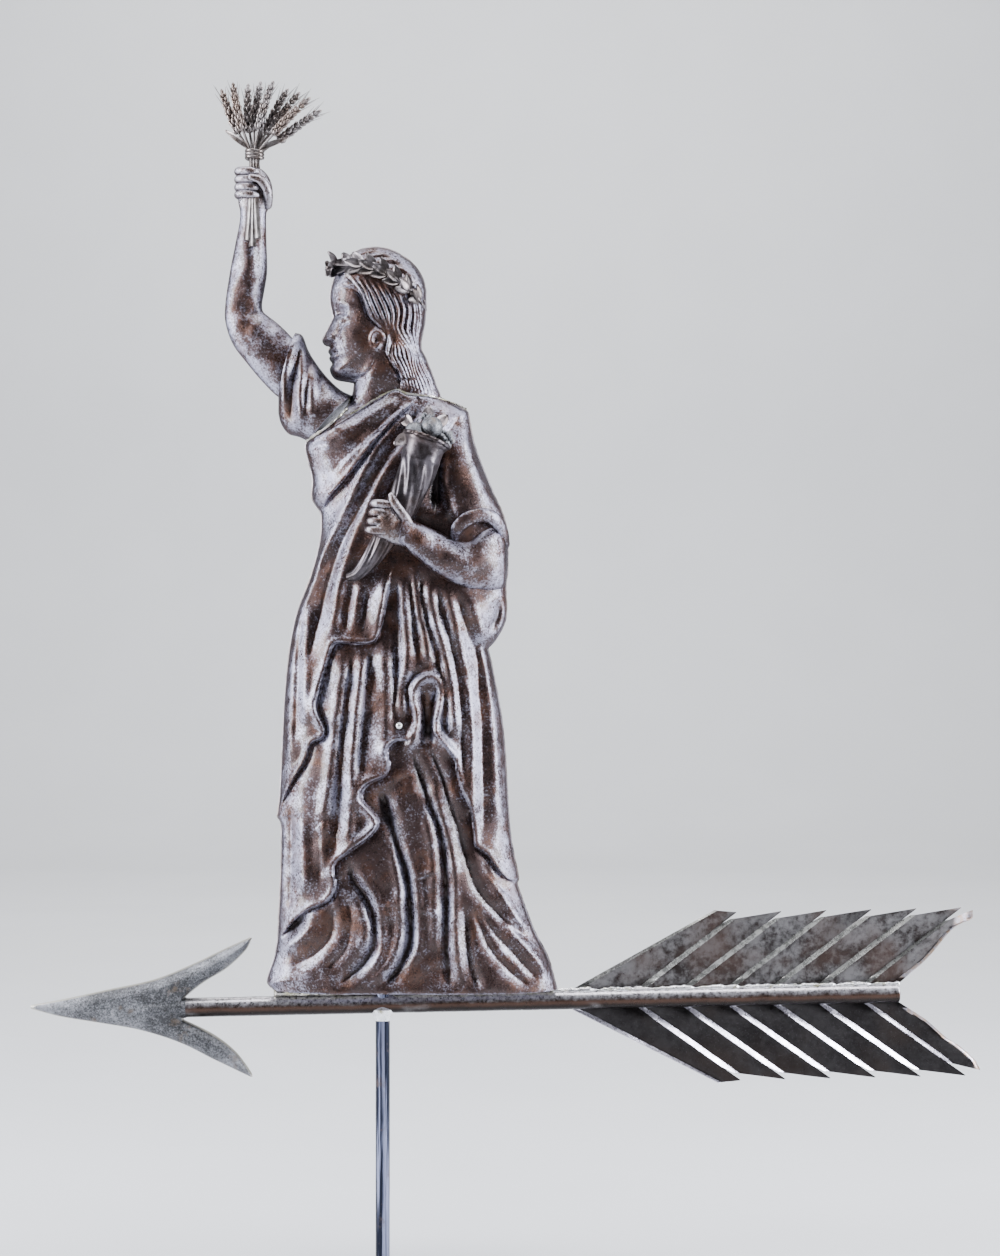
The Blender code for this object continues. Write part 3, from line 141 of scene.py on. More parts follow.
SKIRT_FOLDS = [
    ("edge", 6, 11, [(-106, 172), (-91, 203), (-75, 229), (-69, 246), (-58, 252), (-55.5, 261),
     (-63.6, 281), (-61, 295), (-54, 323), (-48.5, 341), (-42.6, 346), (-19, 345), (-8, 346), (-2.8, 352),
     (1.3, 367), (4, 383), (9, 411)]),
    ("ridge", 2.5, 4, [(-57, 253), (-60, 262), (-68, 283), (-66, 296), (-59, 322)]),
    ("ridge", 5, 8, [(-35, 333), (-44, 265), (-50, 212), (-57, 170), (-60, 120)]),
    ("crease", 4, 4.5, [(-27, 338), (-38, 252), (-43, 178), (-44, 132)]),
    ("ridge", 5, 7, [(-17, 338), (-26, 252), (-29, 190), (-32, 145)]),
    ("crease", 4, 4.5, [(-9, 344), (-16, 264), (-21, 212)]),
    ("ridge", 5, 9, [(2, 344), (7, 290), (3, 245), (-2, 216)]),
    ("crease", 3.5, 4, [(15, 412), (15, 380), (16.5, 345), (14, 300), (12, 262)]),
    ("ridge", 4, 7, [(20, 410), (24, 370), (26, 335), (22, 300), (21, 268)]),
    ("crease", 3.5, 3.5, [(29, 418), (31, 385), (35, 350), (36, 325)]),
    ("ridge", 4, 6, [(32, 418), (38, 375), (46, 342), (48, 320)]),
    ("crease", 4, 4.5, [(37, 418), (44, 376), (54, 338), (60, 310), (63, 285), (63, 262), (68, 245)]),
    ("ridge", 5, 7, [(44, 408), (53, 368), (63, 335), (70, 305), (73, 275), (74, 250)]),
    ("crease", 3, 4, [(54, 405), (64, 365), (72, 325), (77, 295), (79, 268), (80, 240), (80, 212)]),
    ("ridge", 4, 7, [(62, 402), (74, 360), (82, 318), (87, 290), (89, 262), (90, 235), (90, 205),
     (93, 168)]),
    ("crease", 3, 4, [(72, 400), (84, 364), (94, 330), (96, 296), (99, 262), (100, 220), (101, 150)]),
    ("crease", 2, 3.5, [(76, 330), (85, 308), (92, 296)]),
    ("ridge", 4, 8, [(84, 398), (97, 362), (104, 334), (110, 290), (113, 240), (116, 160)]),
    ("crease", 6, 6, [(120, 392), (114, 372), (106, 352)]),
    ("ridge", 5.5, 5.5, [(20, 238), (28, 245), (32, 252), (35, 262), (36, 274), (33.5, 289), (33.5, 299),
     (38.6, 308), (46, 312), (54, 311), (59, 305), (59.5, 294), (57, 282), (53.5, 271), (54, 260),
     (58, 252), (65, 243), (73, 230)]),
    ("crease", 3.5, 3, [(49, 318), (41, 317), (32, 313), (26, 303), (26, 289), (29, 277), (30.5, 263),
     (29, 256)]),
    ("crease", 6, 3.5, [(43, 306), (39.5, 299), (40.5, 289), (43, 274), (43.5, 258), (43, 240)]),
    ("crease", 6, 3.5, [(50, 307), (54, 299), (51.5, 289), (50, 274), (48.5, 258), (50, 240)]),
    ("edge", 6, 10, [(-106, 47), (-86, 70), (-71, 83), (-53.5, 91), (-45, 105.7), (-46.3, 125.7),
     (-36, 137), (-9, 157), (-3.3, 172), (-19, 192), (-15, 205), (-2, 212), (5, 216), (8, 223), (7, 233),
     (5.5, 241), (12, 248.6), (19, 250.6), (26, 250), (31, 254)]),
    ("ridge", 2.5, 4, [(-40, 141), (-12, 161), (-8, 171), (-24, 191), (-18, 209), (0, 217)]),
    ("edge", 5.5, 11, [(53, 256), (59, 250), (67, 240), (73, 230), (76, 213), (81.5, 198), (87.6, 184),
     (91, 167), (93, 146), (104, 137), (116, 120), (127, 110), (138, 110)]),
    ("crease", 6.5, 5, [(28.9, 248), (32.5, 233), (38.6, 215), (45.8, 194.5), (52, 177), (58, 161),
     (62.7, 129), (64.2, 86), (64.2, 48), (68.5, 0)]),
    ("ridge", 3, 5, [(52, 200), (62, 166), (71, 130), (73, 88), (74, 48), (80, 6)]),
    ("ridge", 2.5, 6, [(40, 190), (48, 160), (52, 128), (53, 86), (53, 40)]),
    ("crease", 5.5, 4.5, [(46, 250), (52, 233), (61, 212), (68, 186), (76, 161), (84, 131), (96, 100),
     (122, 71), (150, 48)]),
    ("crease", 7, 5, [(-2, 205), (1, 203), (5.3, 183), (15.4, 149), (25.4, 114), (28.3, 86), (28.3, 51),
     (15, 22), (-4, 4)]),
    ("ridge", 3, 5, [(9, 150), (17, 116), (19, 86), (18, 52), (6, 26), (-14, 8)]),
    ("ridge", 2.5, 5, [(24, 152), (34, 118), (37, 86), (37, 50), (26, 20)]),
    ("crease", 3, 8, [(-8, 212), (0, 190), (10, 160)]),
    ("crease", 6, 5, [(-36, 133), (-32, 131), (-27.7, 114), (-13, 91), (-7, 68), (-8, 45), (-22, 25),
     (-48, 6)]),
    ("ridge", 3, 5, [(-22, 122), (-5, 95), (1, 68), (0, 42), (-14, 18)]),
    ("crease", 4.5, 4.5, [(-50, 92), (-47, 74), (-51, 54), (-68, 37), (-93, 25)]),
    ("crease", 3.5, 4, [(-40, 100), (-31, 84), (-30, 66), (-36, 42), (-58, 22)]),
    ("ridge", 3, 6, [(-22, 92), (-14, 66), (-22, 38)]),
    ("crease", 4, 3.5, [(91.4, 88), (95.7, 71), (107, 45), (127, 22), (149, 4)]),
    ("crease", 5, 4, [(81.4, 90), (84, 65), (87, 34), (98.6, 0)]),
    ("crease", 4, 3.5, [(98, 86), (109, 63), (132, 37), (156, 10)]),
    ("crease", 4, 4, [(98.6, 133), (107, 117), (126, 94)]),
    ("ridge", 3.5, 5, [(100, 128), (113, 108), (126, 86), (146, 56)]),
    ("ridge", 4, 6, [(118, 82), (134, 56), (154, 32), (168, 12)]),
    ("crease", 3, 4, [(-62, 170), (-60, 130), (-60, 104)]),
    ("ridge", 4, 8, [(-78, 176), (-76, 130), (-76, 95)]),
    ("crease", 3.5, 4.5, [(-90, 186), (-90, 120), (-92, 75)]),
    ("crease", 6, 6, [(-99, 50), (-84, 66), (-68, 80)]),
    ("ridge", 4, 7, [(-102, 40), (-84, 52), (-72, 64), (-66, 74)]),
    ("ridge", 2, 3, [(31, 113), (44, 118), (57, 123)]),
    ("crease", 1.6, 2.5, [(30, 110), (44, 114), (57, 119)]),
    ("ridge", 1.8, 3, [(4, 88), (12, 90), (21, 88)]),
    ("ridge", 1.8, 3, [(37, 82), (46, 83), (58, 78)]),
    ("crease", 1.6, 2.5, [(15, 206), (23, 212), (32, 214)]),
    ("crease", 1.4, 3, [(-94, 322), (-78, 323), (-62, 321)]),
    ("crease", 2, 3, [(-68, 160), (-58, 170), (-48, 176)]),
]
HEAD_FOLDS = [
    ("edge", 3, 9, [(-46, 698), (-36, 698), (-26, 695), (-19, 688), (-15, 678), (-11.5, 668), (-5, 661),
     (4, 652), (6.5, 644), (5, 634), (7.4, 627), (13.2, 618), (18.9, 611), (19, 592)]),
    ("edge", 2.6, 3.5, [(-48, 606), (-30, 607.5), (-17, 612), (-9, 621), (-6, 633)]),
    ("ridge", 4, 14, [(-34, 648), (-31, 649)]),
    ("ridge", 2.4, 7, [(-46, 614), (-43, 614)]),
    ("ridge", 3.0, 4.5, [(-52, 679), (-44, 682), (-33, 679), (-25, 674)]),
    ("crease", 4.5, 6, [(-50, 671), (-42, 673), (-33, 670)]),
    ("ridge", 3.4, 4.6, [(-43, 665), (-41, 665)]),
    ("ridge", 1.8, 1.7, [(-48, 667), (-43, 670.5), (-37, 669), (-30, 664)]),
    ("crease", 1.6, 1.6, [(-48, 661), (-42, 660), (-36, 661.5), (-30, 664)]),
    ("crease", 1.6, 5, [(-46, 656), (-38, 654)]),
    ("ridge", 3.0, 4.2, [(-52, 645), (-50.5, 645)]),
    ("crease", 1.8, 2, [(-51, 651), (-46, 649.5), (-45, 644)]),
    ("ridge", 2.2, 3.2, [(-54, 636), (-49, 637), (-43, 634.6)]),
    ("ridge", 2.2, 3.2, [(-53, 629), (-48, 628.6), (-43, 632.6)]),
    ("crease", 3.0, 1.7, [(-55, 632.8), (-48, 633), (-42, 634)]),
    ("crease", 1.6, 4, [(-50, 623.5), (-46, 624)]),
    ("ridge", 3.0, 2.6, [(-5, 636), (-8.5, 640), (-9.5, 646), (-7, 651.5), (-3, 653), (1, 650),
     (1.5, 645)]),
    ("crease", 2.2, 2.2, [(-5, 639), (-6, 645), (-4, 649)]),
    ("ridge", 2.2, 3, [(-4, 637), (-2.5, 640)]),
    ("crease", 2, 4, [(-34, 604), (-22, 604), (-10, 612)]),
    ("ridge", 2.5, 8, [(-6, 622), (-12, 606), (-18, 588)]),
]
HAIR_FRONT = [
    (-38, 712), (-26, 698), (-17, 681), (-10, 666), (2, 654), (9, 643), (9, 630), (16, 614), (22, 592),
]
HAIR_BACK = [
    (38, 690), (43, 673), (43, 662), (38, 650), (38, 642), (39, 634), (43, 627), (50, 608), (57, 588),
]
HAIR_STRANDS = 10
COMBED_LINES = [
    [(-40, 719), (-34, 729), (-20, 736), (-2, 737)], [(-32, 719), (-24, 728), (-10, 732), (6, 730)],
    [(-22, 718), (-13, 725), (0, 727), (14, 723)], [(-10, 716), (0, 720), (12, 720), (22, 714)], [(2, 711),
    (12, 713), (22, 710), (30, 704)],
]

SLEEVE_FOLDS = [
    ("ridge", 5, 7, [(-84, 654), (-89, 640), (-93, 626), (-97, 604), (-98, 588), (-97, 572)]),
    ("crease", 5, 4.5, [(-82, 646), (-84, 625), (-88, 604), (-89, 580), (-90, 562)]),
    ("ridge", 5, 6, [(-77, 642), (-78, 618), (-80, 596), (-80, 574), (-79, 556)]),
    ("crease", 4, 4, [(-72, 633), (-73, 612), (-75, 592), (-74, 570)]),
    ("ridge", 4, 6, [(-67, 625), (-67, 604), (-69, 584), (-68, 562)]),
    ("crease", 3, 4, [(-60, 616), (-60, 598), (-62, 580)]),
    ("ridge", 2, 6, [(-50, 604), (-50, 588), (-52, 572)]),
]
ARM_FOLDS = [
    ("crease", 3, 5, [(-121, 678), (-130, 672), (-138, 668)]),
    ("ridge", 3, 12, [(-134, 690), (-133, 720), (-131, 745)]),
    ("crease", 1.5, 4, [(-120, 700), (-124, 735), (-126, 765)]),
    ("ridge", 2.5, 14, [(-112, 640), (-124, 650), (-136, 656)]),
]
FOREARM_FOLDS = [
    ("ridge", 2.5, 10, [(112, 432), (88, 424), (60, 436)]),
    ("crease", 1.8, 5, [(84, 438), (64, 446), (44, 456)]),
    ("ridge", 2, 5, [(30, 470), (18, 478)]),
]
DENTS = [
    (-53, 510, -3.0, 7), (-93, 275, -1.6, 6), (-92, 321, -1.6, 6), (66, 505, -1.2, 3), (100, 520, -1.0, 8),
    (-60, 398, -0.8, 7), (44, 205, -1.0, 9), (8, 60, -1.2, 12), (48, 60, -1.0, 10), (-84, 140, -0.9, 10),
]

# The raised arm and its sleeve: inner edge, outer edge and half depth
SLEEVE_RUNGS = [
    (-30, 592, -73, 546, 31), (-42, 598, -84, 551, 30), (-55, 610, -94, 554, 28), (-66, 624, -101, 563, 26),
    (-74, 637, -104, 574, 24), (-80, 652, -104, 585, 22.5), (-87, 655, -104, 589, 21),
]
ARM_RUNGS = [
    (-70, 628, -84, 585, 15), (-93, 653, -103, 590, 17), (-105, 664.5, -120, 606, 18),
    (-114, 671.5, -136, 625, 18.5), (-119.5, 676.5, -150, 644, 18.5), (-120.5, 684, -157, 665, 18),
    (-118.5, 696, -157.3, 682, 17.5), (-115.5, 716, -153.5, 710, 17), (-116, 742, -147.5, 742, 15.5),
    (-116.5, 763, -143, 765, 13), (-116, 776, -142.5, 777, 12), (-112, 786, -144, 786, 12),
]
FIST_RUNGS = [
    (-118, 772, -141, 773, 10), (-112, 783, -144, 783, 12.5), (-110, 792, -144.5, 792, 13.5),
    (-110.5, 802, -144.5, 802, 13.5), (-114, 811, -143.5, 811, 12.5), (-119, 817, -140, 817, 10),
    (-125, 820, -135, 820, 5),
]
FIST_FINGERS = (814.5, 806.5, 798.8, 791.5)
RAISED_THUMB = [
    (-114.5, -5, 782, 4.6), (-113.5, -11, 791, 4.9), (-116, -16, 799, 4.6), (-121.5, -18.5, 804.5, 4.2),
    (-129, -19.5, 807, 3.5),
]

# The left forearm and hand: upper edge, lower edge, middle depth and half depth
FOREARM_RUNGS = [
    (125, 444, 124, 412, 2, 10), (121, 456, 121, 401, 8, 17), (112, 462, 112, 396.5, 14, 21),
    (100, 458, 98, 396.5, 21, 22), (86, 447, 84, 398.5, 27, 21), (70, 449, 68, 405, 33, 20),
    (57, 455, 53, 414, 39, 18), (45, 460, 40, 425, 45, 16), (35, 464, 29, 434, 50, 13.5),
    (28, 468, 22, 441, 53, 12), (24, 471, 18, 443, 54, 11.5),
]
HAND_RUNGS = [
    (30, 467, 24, 439, 50, 11), (22, 474, 13, 442, 52, 11.5), (13, 481, 5, 446, 55, 11),
    (5, 484, -2, 449, 56, 9.5), (1, 484, -5, 451, 56, 7),
]
LEFT_THUMB = [
    (29, -55, 461, 4.6), (24, -59, 469, 4.9), (18, -61.3, 477, 4.5), (13.5, -62, 484, 4.3),
    (11.5, -61, 489, 3.4),
]
FINGER_PITCH = (1.7, 8.6)
FINGER_SPACING = 1.2
CUFF = [
    (72, 449, 38, 5), (76, 459, 46, 6.5), (87, 468, 47, 7), (102, 471, 40, 7), (113, 466, 31, 7),
    (120.5, 455, 19, 6), (124, 443, 6, 4),
]

HORN_COURSE = [
    (45, 545, 23, 2), (42, 536, 21, 1), (35, 512, 18.5, 0), (22, 482, 16, 0), (8, 454, 13, 0),
    (-8, 430, 9.5, 0), (-22, 414, 6.5, 0), (-33, 410, 4, 0),
]
WREATH_LINE = [(-52, 720), (-30, 720), (-4, 714), (16, 703), (32, 690), (46, 675)]
WREATH_PAIRS = 8
HORN_LIFT = 3.3
SHOULDER_BEAD = [(-33, 590), (-32.5, 585), (-36, 576), (-45, 566), (-57, 556), (-75, 547)]
COLLAR_BEAD = [(84, 578.5), (58, 588.5), (27, 591.5), (15, 596), (0, 590), (-18, 579), (-30, 572)]
STEM_LIFT = 1.6
LEAF_THICKNESS = 0.8
RIVET_PLACE = (18.0, 264.0)
RIVET_RADIUS = 3.4

TIE_PLACE = (-128, 833)
EARS = 9
EAR_FAN = (-27, 50)
EAR_START = 26
EAR_LENGTH = 45
EAR_ROWS = 9
AWN_LENGTH = 11
EAR_DEPTHS = (0, -9, 8)
STALK_ENDS = [(-133, 744), (-128, 738), (-123, 746)]

# The arrowhead in hundredths of its own length, from its point back
ARROWHEAD_LENGTH = 0.2455
ARROWHEAD_REACH = -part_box("arrow_head")[0].x
ARROWHEAD_HALF_DEPTH = 0.0125
HEAD_POINT = (0, 1.7)
HEAD_UPPER = [(0.35, 2.5), (15, 4.9), (35, 8.8), (56, 13), (74, 19.8), (89, 26.6), (99, 30.8)]
HEAD_UPPER_BACK = [(69.3, 4.6), (78, 11.1), (88.5, 17.3), (97, 25), (100, 30.6)]
HEAD_LOWER = [(0.35, 0.9), (13.6, -2.9), (31, -6.1), (49, -9.7), (67, -15.8), (81.4, -23.3), (98, -31.6)]
HEAD_LOWER_BACK = [(68.5, -5.2), (81.4, -11.8), (91.4, -19.8), (97.8, -28.6), (99, -31.5)]

# The fletching, in the arrow's own frame
FLETCH_FRONT = 0.2086
FIRST_BARB = 0.0726
BARB_PITCH = 0.0495
BARB_RISE = 0.0665
BARB_SLOPE = math.radians(36.4)
BARBS = 7
BARB_TIP = 0.0145
FIRST_TIP_EXTRA = 0.003
FLETCH_FOLD = 0.0050
SHEET_THICKNESS = 0.0008
UPPER_STRIP = 0.0050
LOWER_STRIP = 0.0058
UPPER_BENT_EDGE = [(0, 0), (0.031, 0.026), (0.056, 0.054), (0.068, 0.063), (0.083, 0.069), (0.0838, 0.0775)]
LOWER_BENT_EDGE = [(0, 0), (0.028, 0.019), (0.051, 0.040), (0.066, 0.050), (0.082, 0.065), (0.0885, 0.0765)]


# Curves

def lengths_along(course):
    """The length from a course's start to each of its points."""
    return np.concatenate([[0], np.cumsum(np.linalg.norm(np.diff(course, axis=0), axis=1))])


def places_at(course, shares):
    """The places at these shares of a course's length."""
    lengths = lengths_along(course)
    return np.column_stack([np.interp(shares, lengths / lengths[-1], column) for column in course.T])


def evenly_at(course, shares):
    """The places at these shares of a course's count of points."""
    numbers = np.linspace(0, 1, len(course))
    return np.column_stack([np.interp(shares, numbers, column) for column in course.T])


def spline(points, spacing):
    """A smooth course through the points, sampled evenly about every spacing."""
    points = np.array(points, float)
    dense = points
    if len(points) > 2:
        ends = np.vstack([2 * points[0] - points[1], points, 2 * points[-1] - points[-2]])
        t = np.linspace(0, 1, 12, endpoint=False)[:, None]
        pieces = []
        for a, b, c, d in zip(ends, ends[1:], ends[2:], ends[3:]):
            pieces.append(0.5 * (2 * b + (c - a) * t + (2 * a - 5 * b + 4 * c - d) * t ** 2
                                 + (3 * b - a - 3 * c + d) * t ** 3))
        dense = np.vstack(pieces + [points[-1:]])
    lengths = lengths_along(dense)
    count = max(1, round(lengths[-1] / spacing))
    places = np.linspace(0, lengths[-1], count + 1)
    return np.column_stack([np.interp(places, lengths, column) for column in dense.T])


def chain(runs, spacing):
    sampled = [spline(run, spacing) for run in runs]
    return np.vstack([run[:-1] for run in sampled] + [sampled[-1][-1:]])


def nearest_on(points, course):
    """Distance, side (positive on the left) and share of the length, at the nearest place."""
    start = course[:-1]
    along = course[1:] - start
    lengths = np.linalg.norm(along, axis=1)
    before = np.concatenate([[0], np.cumsum(lengths)])
    distances = np.empty(len(points))
    sides = np.empty(len(points))
    runs = np.empty(len(points))
    for first in range(0, len(points), 4000):
        part = slice(first, first + 4000)
        offset = points[part, None] - start[None]
        share = np.clip((offset * along).sum(-1) / (lengths ** 2), 0, 1)
        offset = offset - share[..., None] * along
        distance = np.linalg.norm(offset, axis=-1)
        nearest = distance.argmin(axis=1)
        rows = np.arange(len(nearest))
        chosen = offset[rows, nearest]
        distances[part] = distance[rows, nearest]
        sides[part] = along[nearest, 0] * chosen[:, 1] - along[nearest, 1] * chosen[:, 0]
        runs[part] = (before[nearest] + share[rows, nearest] * lengths[nearest]) / before[-1]
    return distances, sides, runs


def soft_step(x):
    x = np.clip(x, 0, 1)
    return x * x * (3 - 2 * x)


def swell(distance, depth, reach):
    """A pillow: nothing at the seam, its full depth from reach inwards."""
    near = np.clip(distance / reach, 0, 1)
    return depth * np.sqrt(1 - (1 - near) ** 2)


def relief(points, folds):
    """The height that the folds add at each point."""
    height = np.zeros(len(points))
    for kind, rise, width, course in folds:
        course = spline(course, FOLD_SPACING)
        reach = 2.6 * width + 2
        low = course.min(axis=0) - reach
        high = course.max(axis=0) + reach
        near = np.flatnonzero(((points > low) & (points < high)).all(axis=1))
        if not len(near):
            continue
        distance, side, run = nearest_on(points[near], course)
        length = FOLD_SPACING * (len(course) - 1)
        ends = soft_step(np.minimum(run, 1 - run) / min(0.42, max(0.10, FOLD_FADE / length)))
        if length < 1.6 * width:
            ends = 1
        fade = soft_step((reach - distance) / (0.6 * reach))
        if kind == "ridge":
            height[near] += rise * (0.1 + 0.9 * ends) * fade * np.exp(-1.3 * (distance / width) ** 2)
        elif kind == "crease":
            height[near] -= rise * ends * fade * np.exp(-np.sqrt((distance / width) ** 2 + 0.04) + 0.2)
        else:
            signed = distance * np.sign(side)
            lip = soft_step((signed + 1.5) / 2.6)
            above = 0.55 * np.exp(-np.clip(signed, 0, None) / width)
            above += 0.18 * np.exp(-((signed - 3.2) / 2.2) ** 2)
            below = -0.75 * np.exp(np.clip(signed, None, 0) / (0.45 * width))
            height[near] += rise * (0.25 + 0.75 * ends) * fade * (lip * above + (1 - lip) * below)
    return height


def wobble(points, size, seed):
    """Smooth, even unevenness between about -1 and 1, as hand work leaves."""
    chance = np.random.default_rng(SEED + seed)
    total = np.zeros(len(points))
    for _ in range(14):
        heading = chance.normal(size=points.shape[1])
        heading *= 2 * math.pi / (size * chance.uniform(0.7, 1.5) * np.linalg.norm(heading))
        total += np.sin(points @ heading + chance.uniform(0, 2 * math.pi))
    return total / 3.2


def dented(points, dents):
    height = np.zeros(len(points))
    for u, v, depth, size in dents:
        height += depth * np.exp(-((points[:, 0] - u) ** 2 + (points[:, 1] - v) ** 2) / size ** 2)
    return height


# The figure's own shape

SEAM_RIGHT = chain(BODY_RIGHT, 2.5)
SEAM_LEFT = chain(BODY_LEFT, 2.5)
LEFT_SIDE = np.vstack([SEAM_LEFT[::-1], spline(SHOULDER_JOINT, 2.5)[::-1][1:]])
LEVEL_COURSE = spline(BODY_LEVELS, 4)


def body_smooth_depth(points):
    """Half depth of the figure before its folds, and the distance from its seam."""
    rim = np.minimum(nearest_on(points, SEAM_RIGHT)[0], nearest_on(points, SEAM_LEFT)[0])
    levels = LEVEL_COURSE.T
    depth = np.interp(points[:, 1], levels[0], levels[1])
    reach = np.interp(points[:, 1], levels[0], levels[2])
    return swell(rim, depth, reach), rim
def depth_at(u, v):
    return body_smooth_depth(np.array([(u, v)], float))[0][0]


def on_figure(u, v, lift, side=1):
    """A place above the figure's smooth surface, in steps."""
    return Vector((u, -side * (depth_at(u, v) + lift), v))

def hair_folds():
    """Waved strands between the hairline and the back of the head, and combed lines above."""
    shares = np.linspace(0, 1, 40)
    front = evenly_at(spline(HAIR_FRONT, 4), shares)
    back = evenly_at(spline(HAIR_BACK, 4), shares)
    folds = []
    for strand in range(HAIR_STRANDS + 1):
        mix = strand / HAIR_STRANDS
        line = front * (1 - mix) + back * mix
        line[:, 0] += 1.6 * np.sin(shares * 4.6 * math.pi + 0.9 * strand) * np.sin(math.pi * shares)
        folds.append(("crease", 3.0, 1.7, line[::3]))
        if strand < HAIR_STRANDS:
            middle = line + 0.5 / HAIR_STRANDS * (back - front)
            folds.append(("ridge", 1.6, 2.4, middle[::3]))
    for line in COMBED_LINES:
        folds.append(("crease", 2.4, 2.0, line))
        folds.append(("ridge", 1.2, 2.4, [(u + 2, v + 4) for u, v in line]))
    return folds


HEAD_RELIEF = HEAD_FOLDS + hair_folds()
ROBE_RELIEF = BODICE_FOLDS + SKIRT_FOLDS


BACK_FOLDS = [
    ("edge", 3.2, 12, [(86, 577), (58, 587), (27, 590), (0, 588), (-30, 580), (-50, 560), (-74, 546)]),
    ("edge", 5, 14, [(-106, 172), (-80, 215), (-40, 250), (0, 262), (50, 240), (90, 170), (120, 116),
     (138, 110)]),
]
for i in range(9):
    BACK_FOLDS.append(("crease", 4.5, 5.5, [(-46 + 15 * i, 560 - 4 * abs(i - 4)), (-44 + 13 * i, 430),
                                            (-62 + 18 * i, 300), (-84 + 26 * i, 130), (-98 + 30 * i, 6)]))
for i in range(8):
    BACK_FOLDS.append(("ridge", 4, 8, [(-38 + 15 * i, 556), (-37 + 13 * i, 430), (-53 + 18 * i, 300),
                                       (-71 + 26 * i, 130), (-83 + 30 * i, 8)]))


def body_place(side):
    """Puts a grid over one half of the figure. side is 1 for the front and -1 for the plainer back."""
    split = SEAM_RIGHT[:, 1].argmax()
    right_side = SEAM_RIGHT[:split + 1]
    left_side = np.vstack([LEFT_SIDE, SEAM_RIGHT[split:][::-1]])

    def place(across, up):
        v = up * HEAD_TOP
        left_u = np.interp(v, left_side[:, 1], left_side[:, 0])
        right_u = np.interp(v, right_side[:, 1], right_side[:, 0])
        across = 0.72 * across + 0.28 * (0.5 - 0.5 * np.cos(math.pi * across))
        points = np.column_stack([left_u + across * (right_u - left_u), v])
        depth, rim = body_smooth_depth(points)
        carving = np.zeros(len(points))
        dents = 0
        if side < 0:
            carving += 0.8 * relief(points, BACK_FOLDS)
        else:
            dents = dented(points, DENTS)
            robe = v < 640
            carving[robe] += relief(points[robe], ROBE_RELIEF)
        high = v > 560
        carving[high] += relief(points[high], HEAD_RELIEF) * soft_step((v[high] - 572) / 14)
        uneven = 0.55 * wobble(points, 46, 1) + 0.28 * wobble(points, 19, 2)
        uneven = uneven * (1 - 0.7 * soft_step((v - 570) / 30)) + dents
        near_rim = soft_step(rim / 8)
        full = np.where(rim < 0.01, 0, np.maximum(depth + near_rim * (carving + uneven), 0.3 * depth))
        hem = np.clip(v / 5, 0, 1)
        full = full * (0.955 + 0.045 * np.sqrt(hem * (2 - hem)))
        return points, full, carving

    return place


# Meshes

def grid(columns, rows):
    """A flat grid with the share across and the share along of each of its points."""
    bm = bmesh.new()
    bmesh.ops.create_grid(bm, x_segments=columns, y_segments=rows, size=0.5)
    shares = np.array([vert.co[:2] for vert in bm.verts]) + 0.5
    return bm, shares[:, 0], shares[:, 1]


def move_to(verts, spots):
    for vert, spot in zip(verts, spots):
        vert.co = spot


def tidy(bm, distance=1e-6):
    bmesh.ops.remove_doubles(bm, verts=bm.verts, dist=distance)
    bmesh.ops.recalc_face_normals(bm, faces=bm.faces)


def close_openings(bm):
    edges = [edge for edge in bm.edges if edge.is_boundary]
    if edges:
        bmesh.ops.edgeloop_fill(bm, edges=edges)
    bmesh.ops.recalc_face_normals(bm, faces=bm.faces)


def add_object(name, data):
    obj = bpy.data.objects.new(name, data)
    bpy.context.scene.collection.objects.link(obj)
    return obj


def store(bm, name, values):
    """Keeps a value on each point, for the materials to read."""
    layer = bm.verts.layers.float.new(name)
    for vert, value in zip(bm.verts, values):
        vert[layer] = value


def verts_in(geometry):
    return [item for item in geometry if isinstance(item, bmesh.types.BMVert)]


def piece(name, bm, material, replaces=(), body="vane", smooth_angle=42):
    """A finished object that rides on a body. It stores how far each point faces away from -Y and +Y."""
    bm.normal_update()
    # How far each point faces sideways; the copper paints its flank highlight and its rim shade from this.
    store(bm, "slope", [1 - abs(vert.normal.y) for vert in bm.verts])
    mesh = bpy.data.meshes.new(name)
    bm.to_mesh(mesh)
    bm.free()
    mesh.shade_smooth()
    mesh.set_sharp_from_angle(angle=math.radians(smooth_angle))
    mesh.materials.append(material)
    obj = add_object(name, mesh)
    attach(obj, body)
    if replaces:
        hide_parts(*replaces)


def figure_space(points, depth):
    """Places in metres of points drawn in steps, with depth towards the front."""
    return np.column_stack([points[:, 0] * STEP, -depth * STEP, HEM_Z + points[:, 1] * STEP])


def half_shell(columns, rows, side):
    """One formed half of the figure, closed along its seam."""
    bm, across, up = grid(columns, rows)
    points, depth, carving = body_place(side)(across, up)
    move_to(bm.verts, figure_space(points, side * depth))
    store(bm, "relief", carving)
    rim = [edge for edge in bm.edges if edge.is_boundary]
    for vert in verts_in(bmesh.ops.extrude_edge_only(bm, edges=rim)["geom"]):
        vert.co.y = 0
    tidy(bm)
    close_openings(bm)
    return bm


def close_ring(bm, spots):
    """Bends a grid round to these spots, joins its first and last columns and closes its ends."""
    move_to(bm.verts, spots)
    tidy(bm)
    close_openings(bm)


